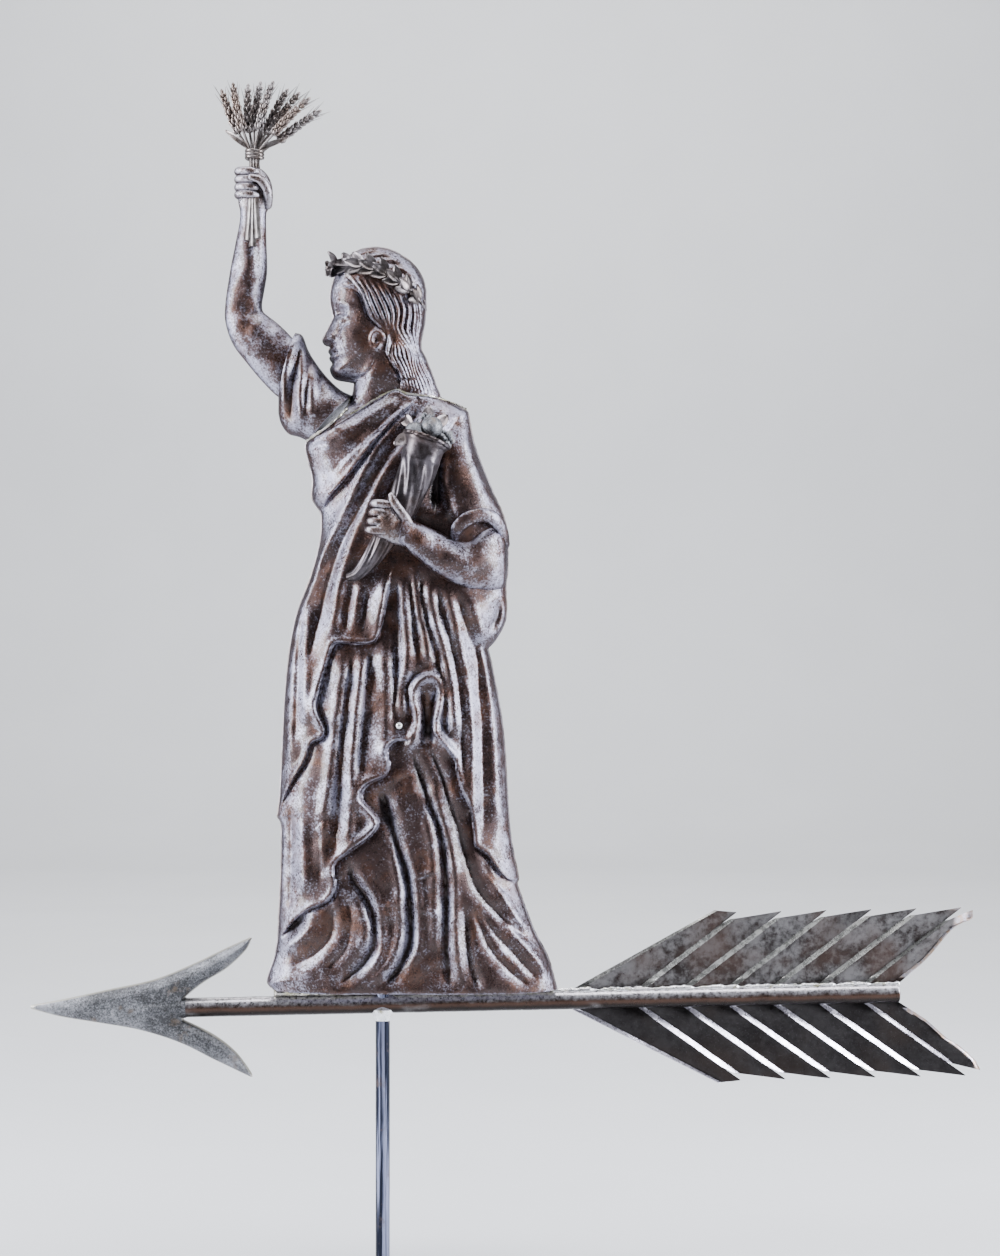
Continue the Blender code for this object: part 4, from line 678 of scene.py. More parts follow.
def limb(rungs, columns, rows, folds=(), uneven=0.3):
    """A rounded form between two edges. A rung is upper u, v, lower u, v, middle depth, half depth."""
    rungs = np.array(rungs, float)
    if rungs.shape[1] == 5:
        rungs = np.insert(rungs, 4, 0, axis=1)
    bm, around, along = grid(columns, rows)
    values = evenly_at(spline(rungs, 2), along)
    angle = 2 * math.pi * around
    middle = 0.5 * (values[:, 0:2] + values[:, 2:4])
    half = 0.5 * (values[:, 0:2] - values[:, 2:4])
    points = middle + half * np.cos(angle)[:, None]
    front = np.sin(angle)
    depth = values[:, 4] + values[:, 5] * front
    carving = relief(points, folds)
    depth += np.sign(front) * np.sqrt(np.abs(front)) * (carving + uneven * wobble(points, 22, 5))
    store(bm, "relief", carving)
    close_ring(bm, figure_space(points, depth))
    return bm


def tube_into(bm, course, columns, spacing, flat=1.0, rounded=True, shape=None):
    """Adds a round bar along a course of x, y, z, radius. shape(angle, along) swells it."""
    course = spline(course, spacing)
    centres = course[:, :3]
    radii = course[:, 3]
    heading = np.gradient(centres, axis=0)
    heading /= np.linalg.norm(heading, axis=1)[:, None]
    if rounded:
        first = radii[0]
        last = radii[-1]
        extra = [0.03, 0.3, 0.6, 0.85]
        head = np.array([centres[0] - heading[0] * first * math.cos(math.asin(e)) for e in extra])
        tail = np.array([centres[-1] + heading[-1] * last * math.cos(math.asin(e)) for e in extra[::-1]])
        centres = np.vstack([head, centres, tail])
        radii = np.concatenate([[first * e for e in extra], radii, [last * e for e in extra[::-1]]])
        count = len(extra)
        heading = np.vstack([np.repeat(heading[:1], count, axis=0), heading,
                             np.repeat(heading[-1:], count, axis=0)])
    side = np.array([0.0, 1.0, 0.0])
    if abs(heading[0] @ side) > 0.85:
        side = np.array([0.0, 0.0, 1.0])
    sides = []
    for direction in heading:
        side = side - direction * (side @ direction)
        side = side / np.linalg.norm(side)
        sides.append(side)
    sides = np.array(sides)
    others = np.cross(heading, sides)
    part, around, along = grid(columns, len(centres) - 1)
    row = np.rint(along * (len(centres) - 1)).astype(int)
    angle = 2 * math.pi * around
    radius = radii[row]
    if shape is not None:
        radius = radius * shape(angle, along)
    spots = centres[row] + radius[:, None] * (flat * np.cos(angle)[:, None] * sides[row]
                                              + np.sin(angle)[:, None] * others[row])
    move_to(part.verts, spots)
    tidy(part, 1e-7)
    close_openings(part)
    join_into(bm, part)


def join_into(bm, part):
    mesh = bpy.data.meshes.new("part")
    part.to_mesh(mesh)
    part.free()
    bm.from_mesh(mesh)
    bpy.data.meshes.remove(mesh)


def steps_to_metres(bm):
    """From u, -depth, v in steps to the frame."""
    bmesh.ops.transform(bm, verts=bm.verts, matrix=Matrix.Translation((0, 0, HEM_Z)) @ Matrix.Scale(STEP, 4))


ARROW_PLACE = Matrix.Translation((0, 0, SHAFT_AXIS_Z)) @ Matrix.Rotation(-ARROW_TILT, 4, "Y")


def along_arrow(bm):
    """From the arrow's own frame, with its axis along X, to the frame."""
    bmesh.ops.transform(bm, verts=bm.verts, matrix=ARROW_PLACE)


# Materials

class Finish:
    """A node material, built up in steps on its shader."""

    def __init__(self, name, metallic, roughness):
        self.material = bpy.data.materials.new(name)
        self.material.use_nodes = True
        self.tree = self.material.node_tree
        self.shader = self.tree.nodes["Principled BSDF"]
        self.shader.inputs["Metallic"].default_value = metallic
        self.shader.inputs["Roughness"].default_value = roughness
        self.place = self.tree.nodes.new("ShaderNodeTexCoord").outputs["Object"]

    def node(self, kind, settings=None, **inputs):
        node = self.tree.nodes.new(kind)
        for key, value in (settings or {}).items():
            setattr(node, key, value)
        for key, value in inputs.items():
            socket = node.inputs[int(key[1:])] if key[0] == "_" else node.inputs[key.replace("_", " ")]
            if isinstance(value, bpy.types.NodeSocket):
                self.tree.links.new(value, socket)
            else:
                socket.default_value = value
        return node

    def noise(self, scale, detail, roughness, stretch=None):
        place = self.place
        if stretch is not None:
            place = self.node("ShaderNodeMapping", _0=place, Scale=stretch).outputs[0]
        made = self.node("ShaderNodeTexNoise", Vector=place, Scale=scale, Detail=detail, Roughness=roughness)
        return made.outputs["Fac"]

    def ramp(self, value, low, high, bottom=0.0, top=1.0):
        made = self.node("ShaderNodeMapRange", {"interpolation_type": "SMOOTHSTEP"}, _0=value, _1=low,
                         _2=high, _3=bottom, _4=top)
        return made.outputs[0]

    def mix(self, share, first, second):
        node = self.node("ShaderNodeMix", {"data_type": "RGBA"})
        for socket, value in ((node.inputs[0], share), (node.inputs[6], first), (node.inputs[7], second)):
            if isinstance(value, bpy.types.NodeSocket):
                self.tree.links.new(value, socket)
            elif isinstance(value, tuple):
                socket.default_value = (*value, 1)
            else:
                socket.default_value = value
        return node.outputs[2]

    def sum(self, first, second, operation="ADD"):
        return self.node("ShaderNodeMath", {"operation": operation}, _0=first, _1=second).outputs[0]
    def times(self, first, second):
        return self.sum(first, second, "MULTIPLY")
    def attribute(self, name):
        return self.node("ShaderNodeAttribute", {"attribute_name": name}).outputs["Fac"]

    def finish(self, colour, roughness, bump=None, bump_height=0.0005, strength=1.0):
        self.tree.links.new(colour, self.shader.inputs["Base Color"])
        self.tree.links.new(roughness, self.shader.inputs["Roughness"])
        if bump is not None:
            made = self.node("ShaderNodeBump", Strength=strength, Distance=bump_height, Height=bump)
            self.tree.links.new(made.outputs[0], self.shader.inputs["Normal"])
        return self.material


def patinated_copper(name, brown=(0.043, 0.026, 0.023), pale=(0.315, 0.310, 0.395),
                     rust=(0.085, 0.036, 0.018), more_wear_and_sheen=0.0):
    """Dark brown sheet copper, rubbed silvery in patches and painted with a silvery highlight on the folds'
    flanks, with rust and fine speckle.
    """
    made = Finish(name, 0.74, 0.34)
    made.shader.inputs["Specular Tint"].default_value = (0.50, 0.50, 0.60, 1)
    made.shader.inputs["Coat Roughness"].default_value = 0.20
    made.shader.inputs["Coat IOR"].default_value = 1.55
    broad = made.noise(9, 5, 0.6)
    blotch = made.noise(60, 6, 0.72)
    speckle = made.noise(420, 3, 0.7)
    grain = made.noise(1500, 2, 0.6)
    cloud = made.sum(made.times(broad, 0.55), made.times(blotch, 0.85))
    cloud = made.sum(cloud, made.times(speckle, 0.90))
    slope = made.attribute("slope")
    made.tree.links.new(made.ramp(slope, 0.25, 0.8, 0.30, 0.05), made.shader.inputs["Coat Weight"])
    # Painted highlight: surfaces that face partly sideways, towards the side lamps, lean to the pale colour;
    # the steepest lean back.
    flank = made.sum(made.ramp(slope, 0.02, 0.34, 0, 0.26), made.ramp(slope, 0.36, 0.86, 0, -0.38))
    cloud = made.sum(cloud, flank)
    # The pale share: random rubbed patches together with the painted flank highlight.
    wear_and_sheen = made.ramp(cloud, 1.18 - more_wear_and_sheen, 1.56 - more_wear_and_sheen)
    colour = made.mix(wear_and_sheen, brown, pale)
    fold = made.attribute("relief")
    rusty = made.times(made.ramp(made.noise(34, 5, 0.65), 0.47, 0.64), made.ramp(fold, -3.0, 3.5, 0.6, 0.30))
    colour = made.mix(rusty, colour, rust)
    # Painted shade: the deepest creases, by their relief value, are darkened nearly to black.
    colour = made.mix(made.ramp(fold, -2.5, -7.5, 0, 0.9), colour, (0.016, 0.011, 0.010))
    pits = made.ramp(made.noise(300, 3, 0.6), 0.57, 0.68)
    colour = made.mix(made.times(pits, 0.8), colour, (0.018, 0.012, 0.010))
    # Painted shade: the most side-facing surfaces, at rims and silhouettes, are darkened.
    colour = made.mix(made.ramp(slope, 0.55, 1.0, 0, 0.62), colour, (0.040, 0.034, 0.040))
    roughness = made.sum(made.ramp(blotch, 0.3, 0.7, 0.25, 0.38), made.ramp(speckle, 0.4, 0.7, -0.03, 0.10))
    bump = made.sum(made.times(speckle, 0.8), made.sum(made.noise(120, 4, 0.6), grain))
    return made.finish(colour, roughness, bump, 0.0006, 0.65)


def tarnished_sheet(name, dark, pale, warm, edge=(0.30, 0.29, 0.29), specks=0.3, contrast=0.0):
    """Smooth sheet metal, blotched dark and grey with fine scratches, with a painted highlight where it is
    bent, a thin painted shade line beside it and painted glints.
    """
    made = Finish(name, 0.82, 0.34)
    broad = made.noise(24, 5, 0.62)
    fine = made.noise(130, 5, 0.7)
    cloud = made.sum(broad, made.times(fine, 0.8))
    colour = made.mix(made.ramp(cloud, 0.66 + contrast, 1.14 - contrast), dark, pale)
    colour = made.mix(made.ramp(made.noise(15, 3, 0.5), 0.44, 0.70, 0, 0.6), colour, warm)
    speck = made.ramp(made.noise(700, 2, 0.6), 0.62, 0.70)
    colour = made.mix(made.times(speck, specks), colour, edge)
    strip = made.attribute("strip")
    # Painted highlight: the bent strips (strip value near 1) take the edge colour, a little varied.
    strip_highlight = made.mix(made.ramp(broad, 0.35, 0.65), edge, tuple(0.72 * part for part in edge))
    colour = made.mix(made.ramp(strip, 0.3, 0.7), colour, strip_highlight)
    # Painted shade: a thin near-black line where the strip value is negative.
    colour = made.mix(made.ramp(strip, -0.2, -0.8, 0, 0.85), colour, (0.010, 0.007, 0.006))
    glint = made.attribute("glint")
    bright = made.mix(made.ramp(fine, 0.36, 0.64), (0.66, 0.63, 0.70), (0.52, 0.36, 0.26))
    colour = made.mix(made.ramp(glint, 0.1, 0.9), colour, bright)
    roughness = made.sum(made.ramp(fine, 0.3, 0.7, 0.26, 0.44), made.times(made.ramp(strip, 0, 1), -0.08))
    scratch = made.noise(90, 3, 0.6, stretch=(0.25, 1, 4))
    bump = made.sum(made.times(scratch, 0.6), made.noise(900, 2, 0.5))
    bump = made.times(bump, made.ramp(strip, 0.2, 0.6, 1, 0.15))
    return made.finish(colour, roughness, bump, 0.0002, 0.4)


def cast_metal(name):
    """Matt, grainy grey casting with darker pits and a little rust in patches."""
    made = Finish(name, 0.85, 0.45)
    broad = made.noise(20, 4, 0.6)
    grain = made.noise(480, 4, 0.8)
    colour = made.mix(made.ramp(made.sum(broad, made.times(grain, 1.3)), 0.90, 1.45), (0.044, 0.044, 0.046),
                      (0.265, 0.27, 0.29))
    pits = made.ramp(made.noise(340, 3, 0.6), 0.56, 0.68)
    colour = made.mix(made.times(pits, 0.8), colour, (0.035, 0.033, 0.031))
    rim = made.ramp(made.attribute("edge"), 0.5, 1.0, 0, 0.8)
    colour = made.mix(rim, colour, (0.46, 0.44, 0.38))
    colour = made.mix(made.ramp(made.noise(60, 3, 0.6), 0.60, 0.72, 0, 0.5), colour, (0.12, 0.085, 0.055))
    roughness = made.ramp(grain, 0.3, 0.7, 0.36, 0.54)
    bump = made.sum(grain, made.times(made.noise(1400, 2, 0.6), 0.6))
    return made.finish(colour, roughness, bump, 0.0006, 0.8)


def run_solder(name, tarnish, dark, bright):
    """Dull silvery solder with waves, pits and a share of yellow-green tarnish."""
    made = Finish(name, 0.85, 0.3)
    broad = made.noise(40, 4, 0.6)
    fine = made.noise(300, 4, 0.65)
    colour = made.mix(made.ramp(broad, 0.35, 0.65), dark, bright)
    stained = made.ramp(made.noise(80, 4, 0.6), 0.56 - 0.2 * tarnish, 0.68)
    colour = made.mix(stained, colour, (0.33, 0.31, 0.20))
    colour = made.mix(made.ramp(fine, 0.60, 0.68, 0, 0.7), colour, (0.12, 0.10, 0.08))
    roughness = made.ramp(fine, 0.3, 0.7, 0.22, 0.42)
    return made.finish(colour, roughness, made.sum(broad, made.times(fine, 0.4)), 0.0009, 0.7)


def turned_steel(name):
    """Bright bar with dark and bluish streaks along it, painted as reflections, and spots of brown tarnish.
    """
    made = Finish(name, 1.0, 0.14)
    streak = made.noise(190, 4, 0.6, stretch=(1, 1, 0.03))
    fine = made.noise(900, 3, 0.6, stretch=(1, 1, 0.05))
    # Painted reflections: dark and bluish streaks along the bar stand for the surroundings mirrored in it.
    colour = made.mix(made.ramp(streak, 0.46, 0.60), (0.014, 0.016, 0.026), (0.24, 0.26, 0.38))
    colour = made.mix(made.ramp(made.noise(70, 4, 0.6), 0.56, 0.70, 0, 0.6), colour, (0.10, 0.075, 0.07))
    roughness = made.ramp(fine, 0.3, 0.7, 0.10, 0.20)
    return made.finish(colour, roughness, fine, 0.00012, 0.4)


def shaft_tube(name):
    """Tarnished tube, silvery along its top and brown along its side, with painted shade darkening its
    underside to near black.
    """
    made = Finish(name, 0.85, 0.33)
    broad = made.noise(14, 4, 0.6, stretch=(0.4, 1, 1))
    fine = made.noise(240, 5, 0.7)
    height = made.node("ShaderNodeSeparateXYZ", _0=made.place).outputs
    rise = made.sum(height[2], made.times(height[0], 0.0208), "SUBTRACT")
    rise = made.sum(rise, made.times(made.sum(fine, made.noise(38, 4, 0.6)), 0.004))
    colour = made.mix(made.ramp(fine, 0.35, 0.7), (0.22, 0.21, 0.22), (0.56, 0.54, 0.57))
    colour = made.mix(made.ramp(rise, 0.3205, 0.3145), colour, (0.064, 0.036, 0.026))
    # Painted shade: the lower part of the tube, by height, darkened to near black.
    colour = made.mix(made.ramp(rise, 0.3145, 0.3085), colour, (0.015, 0.012, 0.011))
    colour = made.mix(made.ramp(broad, 0.56, 0.66, 0, 0.6), colour, (0.24, 0.23, 0.23))
    colour = made.mix(made.ramp(made.noise(420, 3, 0.6), 0.60, 0.68, 0, 0.75), colour, (0.025, 0.017, 0.014))
    roughness = made.ramp(fine, 0.3, 0.7, 0.24, 0.42)
    return made.finish(colour, roughness, made.sum(fine, made.noise(60, 3, 0.5)), 0.0003, 0.6)


COPPER = patinated_copper("patinated_copper")
ARM_COPPER = patinated_copper("arm_copper", more_wear_and_sheen=0.05)
HAND_METAL = patinated_copper("hand_copper", brown=(0.085, 0.058, 0.050), pale=(0.36, 0.34, 0.38), more_wear_and_sheen=0.12)
# Each fletching sheet's edge colour is the painted highlight on its bent strips. The lower sheet is a much
# darker copy of the upper one, as painted shade on the lower barbs' panels.
UPPER_SHEET = tarnished_sheet("upper_sheet", dark=(0.014, 0.010, 0.009), pale=(0.132, 0.127, 0.127),
                              warm=(0.058, 0.036, 0.029), edge=(0.25, 0.25, 0.235), specks=0.04,
                              contrast=0.06)
LOWER_SHEET = tarnished_sheet("lower_sheet", dark=(0.008, 0.0065, 0.0065), pale=(0.024, 0.022, 0.022),
                              warm=(0.022, 0.015, 0.012), edge=(0.70, 0.67, 0.76), specks=0.03)
HORN_SHEET = tarnished_sheet("horn_sheet", dark=(0.026, 0.020, 0.020), pale=(0.090, 0.080, 0.090),
                             warm=(0.062, 0.040, 0.033))
LEAF_SHEET = tarnished_sheet("leaf_sheet", dark=(0.060, 0.050, 0.047), pale=(0.20, 0.18, 0.19),
                             warm=(0.125, 0.085, 0.062))
WHEAT_SHEET = tarnished_sheet("wheat_sheet", dark=(0.085, 0.068, 0.060), pale=(0.27, 0.25, 0.25),
                              warm=(0.16, 0.105, 0.075))
CAST = cast_metal("cast_metal")
SOLDER = run_solder("run_solder", 0.25, (0.68, 0.67, 0.68), (0.92, 0.92, 0.94))
GREEN_SOLDER = run_solder("tarnished_solder", 1.0, (0.40, 0.38, 0.36), (0.55, 0.54, 0.50))
STEEL = turned_steel("turned_steel")
TUBE = shaft_tube("shaft_tube")


# The figure

def make_figure():
    for name, side, columns, rows in (("figure_front_half", 1, 145, 672), ("figure_back_half", -1, 84, 420)):
        piece(name, half_shell(columns, rows, side), COPPER, ["figure_body"])


def make_seams():
    """The raised, uneven line where the two halves meet."""
    bm = bmesh.new()
    for line in (chain(BODY_RIGHT, 3), SEAM_LEFT[::2]):
        radii = 0.95 * np.random.default_rng(SEED).uniform(0.75, 1.25, len(line))
        tube_into(bm, [(u, 0, v, radius) for (u, v), radius in zip(line, radii)], 6, 2.5)
    steps_to_metres(bm)
    piece("rim_seam", bm, LEAF_SHEET)


def fingers_into(bm, fingers):
    """Adds bars of columns and course, drawn in steps, to a hand that is in metres."""
    part = bmesh.new()
    for columns, course in fingers:
        tube_into(part, course, columns, FINGER_SPACING)
    steps_to_metres(part)
    join_into(bm, part)


def make_arm():
    bm = limb(SLEEVE_RUNGS, 110, 120, SLEEVE_FOLDS, uneven=0.5)
    piece("arm_sleeve", bm, COPPER, ["raised_arm"])
    bm = limb(ARM_RUNGS, 72, 230, ARM_FOLDS, uneven=0.6)
    piece("bare_arm", bm, ARM_COPPER, ["raised_arm"])
    fingers = []
    for v in FIST_FINGERS:
        fingers.append((14, [(-139, 5, v, 3.4), (-143.6, -3, v, 3.9), (-142.5, -11, v, 4.1),
                             (-137, -15.5, v - 0.3, 4.1), (-130, -16.8, v - 0.8, 4.0),
                             (-125, -14.5, v - 1.2, 3.4)]))
    bm = limb(FIST_RUNGS, 40, 50)
    fingers_into(bm, fingers + [(16, RAISED_THUMB)])
    piece("raised_fist", bm, HAND_METAL, ["raised_arm"])


def make_forearm():
    bm = limb(FOREARM_RUNGS, 84, 170, FOREARM_FOLDS, uneven=0.5)
    piece("left_forearm_shell", bm, ARM_COPPER, ["left_forearm"])
    fingers = []
    for index in range(4):
        v = 481 - FINGER_PITCH[1] * index
        u = 3 - FINGER_PITCH[0] * index
        fingers.append((16, [(u + 8, -60, v - 1, 4.0), (u, -61.5, v, 4.4), (u - 6, -60, v + 0.5, 4.3),
                             (u - 9, -54, v + 0.5, 4.4), (u - 8, -48, v + 0.2, 3.9), (u - 4, -44, v, 3.4)]))
    bm = limb(HAND_RUNGS, 44, 40)
    fingers_into(bm, fingers + [(18, LEFT_THUMB)])
    piece("left_hand", bm, HAND_METAL, ["left_forearm"])
    bm = bmesh.new()
    course = [(u, -depth, v, radius) for u, v, depth, radius in CUFF]
    tube_into(bm, course, 24, 1.5, flat=0.62)
    steps_to_metres(bm)
    piece("sleeve_cuff", bm, COPPER, ["left_forearm"])


# What the figure carries and wears

def make_horn():
    course = spline(HORN_COURSE, 3)
    surface = body_smooth_depth(course[:, :2])[0] + HORN_LIFT
    path = [(u, -(depth + lift), v, radius) for (u, v, radius, lift), depth in zip(course, surface)]

    def fluted(angle, along):
        twist = 3.2 * along
        flute = 0.05 * np.cos(9 * (angle + twist)) * soft_step((along - 0.1) / 0.1)
        bands = 0.035 * np.exp(-((along - 0.13) / 0.012) ** 2) + 0.06 * np.exp(-((along - 0.02) / 0.018) ** 2)
        return 0.96 + flute + bands

    bm = bmesh.new()
    tube_into(bm, path, 108, 1.4, shape=fluted, rounded=False)
    steps_to_metres(bm)
    piece("horn_of_plenty", bm, HORN_SHEET, ["horn"])
    bm = bmesh.new()
    mouth = Vector(path[0][:3])
    heading = (Vector(path[1][:3]) - mouth).normalized()
    turn = Vector((0, 0, 1)).rotation_difference(heading).to_matrix()
    rope = []
    for index in range(61):
        angle = 2 * math.pi * index / 60
        spot = turn @ Vector((22.6 * math.cos(angle), 22.6 * math.sin(angle), 0)) + mouth
        rope.append((*spot, 2.3))

    def twisted(angle, along):
        return 1 + 0.16 * np.cos(2 * angle + along * 46 * math.pi)

    tube_into(bm, rope, 12, 1.1, shape=twisted)
    steps_to_metres(bm)
    piece("horn_rim", bm, HORN_SHEET, ["horn"])


def ball_into(bm, place, radius, detail):
    made = bmesh.ops.create_icosphere(bm, subdivisions=detail, radius=radius)
    bmesh.ops.translate(bm, verts=made["verts"], vec=place)
    return made["verts"]


def make_fruit():
    bm = bmesh.new()
    for u, v, radius, lift in ((34, 553, 10, 8), (50, 557, 11, 10)):
        centre = on_figure(u, v, lift)
        for vert in ball_into(bm, centre, radius, 5):
            away = vert.co - centre
            if away.z > 0:
                dimple = math.exp(-((away.x / radius) ** 2 + (away.y / radius) ** 2) / 0.07)
                vert.co.z -= 0.45 * radius * dimple
        stem = [(*(centre + Vector((x, 0, z * radius))), thick)
                for x, z, thick in ((0, 0.4, 0.9), (1, 0.9, 0.7), (2.4, 1.15, 0.9))]
        tube_into(bm, stem, 8, 1)
    chance = np.random.default_rng(SEED + 3)
    centre = on_figure(64, 546, 7)
    for _ in range(26):
        away = Vector(chance.normal(size=3)).normalized() * chance.uniform(5.5, 7.5)
        away.z = away.z * 1.1 - 1
        ball_into(bm, centre + away, 3.0, 2)
    for _ in range(14):
        away = Vector(chance.normal(size=3)).normalized() * 5.5
        ball_into(bm, on_figure(44, 565, 2) + away, 2.6, 2)
    steps_to_metres(bm)
    piece("fruit", bm, CAST, ["horn_fruit"])
    bm = bmesh.new()
    for u, v, lift, turn, lean in ((58, 562, 5, 0.7, 0.5), (27, 562, 3, -0.7, 0.4), (25, 547, 12, -2.1, 0.2),
                                   (46, 568, 5, 0.1, 0.3)):
        place = Matrix.Translation(on_figure(u, v, lift)) @ Matrix.Rotation(math.pi / 2, 4, "X")
        place = place @ Matrix.Rotation(-turn, 4, "Z") @ Matrix.Rotation(-lean, 4, "X")
        leaf_into(bm, 19, 5.4, place @ Matrix.Translation((0, -5, 0)), curl=0.3)
    steps_to_metres(bm)
    piece("fruit_leaves", bm, LEAF_SHEET, ["horn_fruit"])

def leaf_into(bm, length, half_width, place, curl):
    """A veined leaf that lies along +Y of its place and is cupped towards +Z."""
    part, across, along = grid(10, 16)
    across = 2 * across - 1
    width = half_width * np.sin(math.pi * np.clip(along, 0, 1) ** 0.85) ** 0.8 + 0.12
    veins = np.abs(np.sin(5.5 * math.pi * (along - 0.25 * np.abs(across))))
    vein = 0.5 * np.exp(-(across / 0.16) ** 2) - 0.22 * veins
    height = (-curl * length * (along ** 2) * 0.5 + 0.10 * half_width * across ** 2 * 2
              + vein * half_width * 0.13)
    move_to(part.verts, np.column_stack([across * width, along * length, height]))
    bmesh.ops.remove_doubles(part, verts=part.verts, dist=0.01)
    bmesh.ops.solidify(part, geom=part.faces[:], thickness=LEAF_THICKNESS)
    bmesh.ops.recalc_face_normals(part, faces=part.faces)
    bmesh.ops.transform(part, verts=part.verts, matrix=place)
    join_into(bm, part)


def make_wreath():
    """Leaves in pairs on both sides of the head, along a stem, with berries."""
    stations = spline(WREATH_LINE, 1)
    bm = bmesh.new()
    for side in (1, -1):
        tube_into(bm, [(*on_figure(u, v, STEM_LIFT, side), 1.5) for u, v in stations[::6]], 10, 1.5)
        for pair in range(WREATH_PAIRS):
            index = int((pair + 0.6) * (len(stations) - 8) / WREATH_PAIRS)
            u, v = stations[index]
            ahead = Vector((*(stations[index] - stations[index + 6]), 0)).normalized()
            root = on_figure(u, v, STEM_LIFT, side)
            tip = on_figure(u + 5 * ahead.x, v + 5 * ahead.y, STEM_LIFT, side)
            over = on_figure(u - 5 * ahead.y, v + 5 * ahead.x, STEM_LIFT, side)
            along = (tip - root).normalized()
            normal = along.cross(over - root).normalized()
            if normal.y * side > 0:
                normal = -normal
            across = along.cross(normal).normalized()
            lie = Matrix((across, along, normal)).transposed().to_4x4()
            size = 1 - 0.22 * pair / WREATH_PAIRS
            for fan, lift in ((-0.66, 0.24), (0.66, 0.24), (0.0, 0.40)):
                place = Matrix.Translation(root) @ lie @ Matrix.Rotation(fan, 4, "Z") \
                    @ Matrix.Rotation(lift, 4, "X")
                leaf_into(bm, 20 * size, 4.9 * size, place, curl=0.34)
            for shift in (-2.4, 2.4):
                ball_into(bm, root + normal * 2.4 - along * 3 + across * shift, 1.7 * size, 2)
    for index in range(5):
        angle = 2 * math.pi * index / 5
        place = Matrix.Translation((-52, 0, 720)) @ Matrix.Rotation(angle, 4, "X")
        leaf_into(bm, 9, 3.0, place @ Matrix.Rotation(0.5, 4, "Z"), curl=0.3)
    ball_into(bm, Vector((-54, 0, 720)), 3.4, 3)
    steps_to_metres(bm)
    piece("leaf_wreath_twigs", bm, LEAF_SHEET, ["leaf_wreath"])


def ear_into(stalks, grains, index):
    """A stalk, with an ear of grain and its awns. The ears of the fan are counted from the left."""
    angle = math.radians(EAR_FAN[0] + (EAR_FAN[1] - EAR_FAN[0]) * index / (EARS - 1))
    away = Vector((math.sin(angle), 0, math.cos(angle)))
    depth = EAR_DEPTHS[index % len(EAR_DEPTHS)]
    tie = Vector((TIE_PLACE[0] + 1.2 * (index - EARS // 2), 0.35 * depth, TIE_PLACE[1]))
    foot = tie + Vector((0, 0, -24))
    start = tie + EAR_START * away + Vector((0, 0.65 * depth, 0))
    lean = Vector((0.10, 0, -0.02))
    spine = [start + EAR_LENGTH * (s * away + s * s * lean) for s in (0, 0.25, 0.5, 0.75, 1)]
    tube_into(stalks, [(*foot, 1.5), (*tie, 1.5), (*start, 1.35), (*spine[1], 1.6), (*spine[3], 1.2),
                       (*spine[4], 0.6)], 8, 3)
    spine = spline([tuple(spot) for spot in spine], 1)
    for row in range(EAR_ROWS):
        share = (row + 0.3) / EAR_ROWS
        here = int(share * (len(spine) - 1))
        at = Vector(spine[here])
        ahead = (Vector(spine[min(here + 2, len(spine) - 1)]) - at).normalized()
        side = ahead.cross(Vector((0, 1, 0))).normalized()
        front = side.cross(ahead).normalized()
        spread = 1 - 0.35 * share ** 2
        for k in range(4):
            turn = math.pi / 2 * k + (math.pi / 4 if row % 2 else 0)
            out = math.cos(turn) * side + math.sin(turn) * front
            grain_into(grains, at + out * 3.0 * spread, (ahead + 0.36 * out).normalized(), 8.0 * spread,
                       2.35 * spread)
            if row > 5 and k % 2 == row % 2:
                tip = at + out * 4.0 * spread + ahead * 3.6
                end = tip + (ahead + 0.33 * out).normalized() * AWN_LENGTH
                if end.z * STEP + HEM_Z < cad_box[1].z - 0.001:
                    awn_into(grains, tip - ahead * 2, end)
    last = Vector(spine[-1])
    ahead = (last - Vector(spine[-4])).normalized()
    grain_into(grains, last - 0.4 * ahead, ahead, 8.5, 2.1)


def make_sheaf():
    """Ears of grain on stalks that are tied above the fist and come out below it."""
    bm = bmesh.new()
    grains = bmesh.new()
    for index in range(EARS):
        ear_into(bm, grains, index)
    for offset in (-3.2, 0, 3.2):
        ring = []
        for a in np.linspace(0, 2 * math.pi, 33):
            height = TIE_PLACE[1] + offset + 0.6 * math.sin(2 * a)
            ring.append((TIE_PLACE[0] + 8.0 * math.cos(a), 7.0 * math.sin(a), height, 1.9))
        tube_into(bm, ring, 10, 1.4, rounded=False)
    for shift, facing, turn in ((-1, 1, -0.9), (1, 1, 1.15), (0, -1, 0.3)):
        place = Matrix.Translation((TIE_PLACE[0] + 3 * shift, -5 * facing, TIE_PLACE[1] + 4))
        place = place @ Matrix.Rotation(math.pi / 2, 4, "X") @ Matrix.Rotation(-turn, 4, "Z")
        leaf_into(bm, 34, 2.6, place, curl=0.5 * facing)
    steps_to_metres(bm)
    piece("sheaf_stalks", bm, WHEAT_SHEET, ["wheat_sheaf"])
    steps_to_metres(grains)
    piece("sheaf_grain", grains, WHEAT_SHEET, ["wheat_sheaf"])
    bm = bmesh.new()
    for u, v in STALK_ENDS:
        top = (-128 + 0.6 * (u + 128), -11.0, 798, 3.0)
        tube_into(bm, [top, (u * 0.5 - 64, -15.5, 780, 3.2), (u, -18.6, v, 3.4)], 16, 2, rounded=False,
                  shape=lambda angle, along: 1 + 0.06 * np.cos(8 * angle))
    steps_to_metres(bm)
    piece("stalk_butts", bm, WHEAT_SHEET, ["stalk_ends"])


def upright_to(heading):
    return Vector((0, 0, 1)).rotation_difference(heading).to_matrix().to_4x4()


